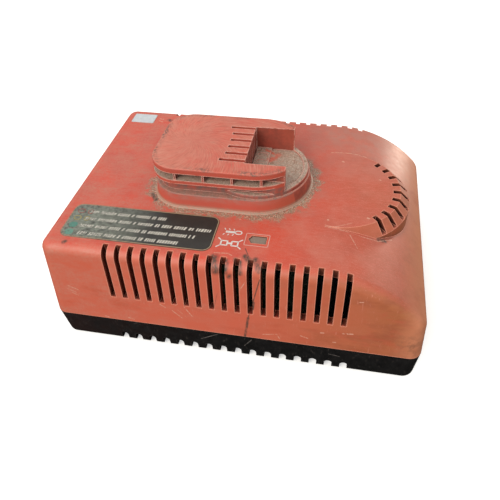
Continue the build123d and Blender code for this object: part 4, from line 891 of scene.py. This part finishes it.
border_ink = ink("tan_border_ink", "#b49a7c", 0.45, 0.6)
edge_in = 0.25
x0, y0, x1, y1 = [part / mm for part in (*label_low[:2], *label_high[:2])]
border = frame_strips(x0 + edge_in, y0 + edge_in, x1 - edge_in, y1 - edge_in, 5.2, 0.55)
flat_piece("label_border", border, label_high[2], border_ink)
mark_x = -100.5               # middle of the column of lamp marks
mark_inks = [("red_lamp_ink", "#a5594f"), ("yellow_lamp_ink", "#b3a45c"),
             ("green_lamp_ink", "#5c9486"), ("green_lamp_ink_pale", "#6fa090")]
for n, (name, code) in enumerate(mark_inks):
    y = (first_row - n * row_pitch) / mm
    if n < 2:
        shapes = frame_strips(mark_x - 2.4, y - 2.0, mark_x + 2.4, y + 2.0, 1.8, 0.5)
        shapes += frame_strips(mark_x + 4.4, y - 2.0, mark_x + 8.0, y + 2.0, 1.5, 0.5)
    else:
        shapes = [rounded(mark_x - 2.6, y - 2.4, mark_x + 2.8, y + 2.4, 2.2)]
    flat_piece("lamp_mark_%d" % (n + 1), shapes, label_high[2], ink(name, code, 0.5, 0.7))

deck_ink = ink("white_deck_ink", "#efe9e4", 0.5, 0.7)


def stroke(start, end, width):
    """A straight printed line as a quad."""
    (ax, ay), (bx, by) = start, end
    length = hypot(bx - ax, by - ay)
    nx, ny = -(by - ay) / length * width / 2, (bx - ax) / length * width / 2
    return [(ax + nx, ay + ny), (bx + nx, by + ny), (bx - nx, by - ny), (ax - nx, ay - ny)]


# A thermometer on its side, with short rays, and two small cells with rays at their corners.
stem_y = -53.9
shapes = [stroke((-5.0, stem_y), (0.8, stem_y), 1.7)]
shapes += frame_strips(0.6, stem_y - 1.7, 5.2, stem_y + 1.7, 1.65, 0.7)
for x in (-5.4, -2.6, 0.2):
    shapes += [stroke((x, stem_y + s * 1.7), (x - 0.8, stem_y + s * 3.0), 0.5) for s in (-1, 1)]
flat_piece("temperature_sign", shapes, deck_z, deck_ink)
cell_low, cell_high, cell_length = -66.0, -61.4, 4.6
cells_x = (-6.2, 0.2)
shapes = []
for x in cells_x:
    shapes += frame_strips(x, cell_low, x + cell_length, cell_high, 0.6, 0.9)
shapes.append(stroke((cells_x[0] + cell_length, -63.7), (cells_x[1], -63.7), 1.3))
for x, s in ((cells_x[0], -1), (cells_x[1] + cell_length, 1)):
    for y, t in ((cell_low, -1), (cell_high, 1)):
        shapes.append(stroke((x, y), (x + s * 2.0, y + t * 1.7), 0.7))
flat_piece("cell_sign", shapes, deck_z, deck_ink)
window_line = ink("worn_window_ink", "#e6b5a8", 0.4, 0.6)
outline = frame_strips(7.7, -63.9, 22.3, -53.2, 0.9, 0.45)
flat_piece("window_outline", outline, deck_z, window_line, print_lift / 2)

# ---- small sticker --------------------------------------------------------------------------
# A pale paper film stuck near the back left corner of the deck. It is blotched with damp and
# has yellowed at its rim.
paper, tree, shader, coords = new_material("pale_paper_film")
stain = patches(tree, coords, 3 * mm, 0.4, 0.7)
rim = edge_rub_and_glint(tree, 0.8 * mm, 0.9, 0.99)
colour = paint(tree, linear("#d4dbe0"), [(stain, "#c3ccd3"), (rim, "#b5aaa2")])
feed(tree, shader, {"Base Color": colour, "Roughness": 0.6})
dress(nodes["small_sticker"], paper)

# ---- housing screws -------------------------------------------------------------------------
# Four zinc-plated pan-head screws for plastic reach up through columns in the base. A cross
# recess in each head takes the driver, and a coarse rolled thread bites into the cover.
def lathe(name, profile, segments):
    """A closed turned piece from (radius, height) points that begin and end on the axis."""
    work = bmesh.new()
    rings = []
    for radius, height in profile:
        if radius == 0:
            rings.append([work.verts.new((0, 0, height))])
            continue
        turns = [radians(360 * n / segments) for n in range(segments)]
        rings.append([work.verts.new((radius * cos(t), radius * sin(t), height)) for t in turns])
    for lower, upper in zip(rings, rings[1:]):
        for n in range(segments):
            m = (n + 1) % segments
            corners = [lower[n % len(lower)], lower[m % len(lower)],
                       upper[m % len(upper)], upper[n % len(upper)]]
            work.faces.new(list(dict.fromkeys(corners)))
    bmesh.ops.recalc_face_normals(work, faces=work.faces)
    mesh = bpy.data.meshes.new(name)
    work.to_mesh(mesh)
    work.free()
    return mesh


screw_low, screw_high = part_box("housing_screws")
head_radius = 3.1 * mm
screw_length = screw_high[2] - screw_low[2]
core, crest = 1.12 * mm, 1.5 * mm
thread_start, thread_pitch, plain_tip = 3.0 * mm, 1.3 * mm, 2.5 * mm
threads = int((screw_length - thread_start - plain_tip) / thread_pitch)
thread_rise, thread_land = 0.5 * mm, 0.8 * mm
head = [(0, 0), (1.3, 0.03), (2.2, 0.24), (2.8, 0.70), (3.1, 1.35), (3.1, 2.2), (1.5, 2.2),
        (1.12, 2.6)]
profile = [(radius * mm, height * mm) for radius, height in head]
for n in range(threads):
    foot = thread_start + n * thread_pitch
    profile += [(core, foot), (crest, foot + thread_rise), (core, foot + thread_land)]
profile += [(0.9 * mm, screw_length - 1.2 * mm), (0, screw_length)]
arm, half, depth, taper = 1.9 * mm, 0.42 * mm, 1.5 * mm, 0.55
mouth_z = -0.2 * mm
plus = [(half, arm), (-half, arm), (-half, half), (-arm, half), (-arm, -half), (-half, -half),
        (-half, -arm), (half, -arm), (half, -half), (arm, -half), (arm, half), (half, half)]
recess = bmesh.new()
prism(recess, [recess.verts.new((x, y, mouth_z)) for x, y in plus],
      [recess.verts.new((x * taper, y * taper, depth)) for x, y in plus])
blank = new_object("screw_blank", cut_out(lathe("screw_blank", profile, 32), recess))

screw_tree, given = node_group("screws_in_columns", {"Screw": "Object", "Plating": "Material"})
screw = add(screw_tree, "GeometryNodeObjectInfo", {"Object": given["Screw"]})
turn = add(screw_tree, "GeometryNodeInputNamedAttribute", {"Name": "turn"},
           data_type="FLOAT_VECTOR")
angle = add(screw_tree, "FunctionNodeEulerToRotation", {"Euler": turn})
placed = add(screw_tree, "GeometryNodeInstanceOnPoints",
             {"Points": given["Geometry"], "Instance": screw.outputs["Geometry"],
              "Rotation": angle})
solid = add(screw_tree, "GeometryNodeRealizeInstances", {"Geometry": placed})
plated = add(screw_tree, "GeometryNodeSetMaterial",
             {"Geometry": solid, "Material": given["Plating"]})
add(screw_tree, "NodeGroupOutput", {"Geometry": plated})
screw_x = screw_high[0] - head_radius
screw_y = screw_high[1] - head_radius
places = [(x, y, screw_low[2]) for x in (-screw_x, screw_x) for y in (-screw_y, screw_y)]
turns = [(0, 0, chance.uniform(0, 1.5)) for _ in places]
screws = grow("cross_recess_screws", places, "turn", turns, screw_tree,
              {"Screw": blank, "Plating": zinc})
bpy.data.objects.remove(blank)
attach(screws, "charger")
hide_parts("housing_screws")

# ---- colour view ------------------------------------------------------------------------------
scene.view_settings.view_transform = "Standard"
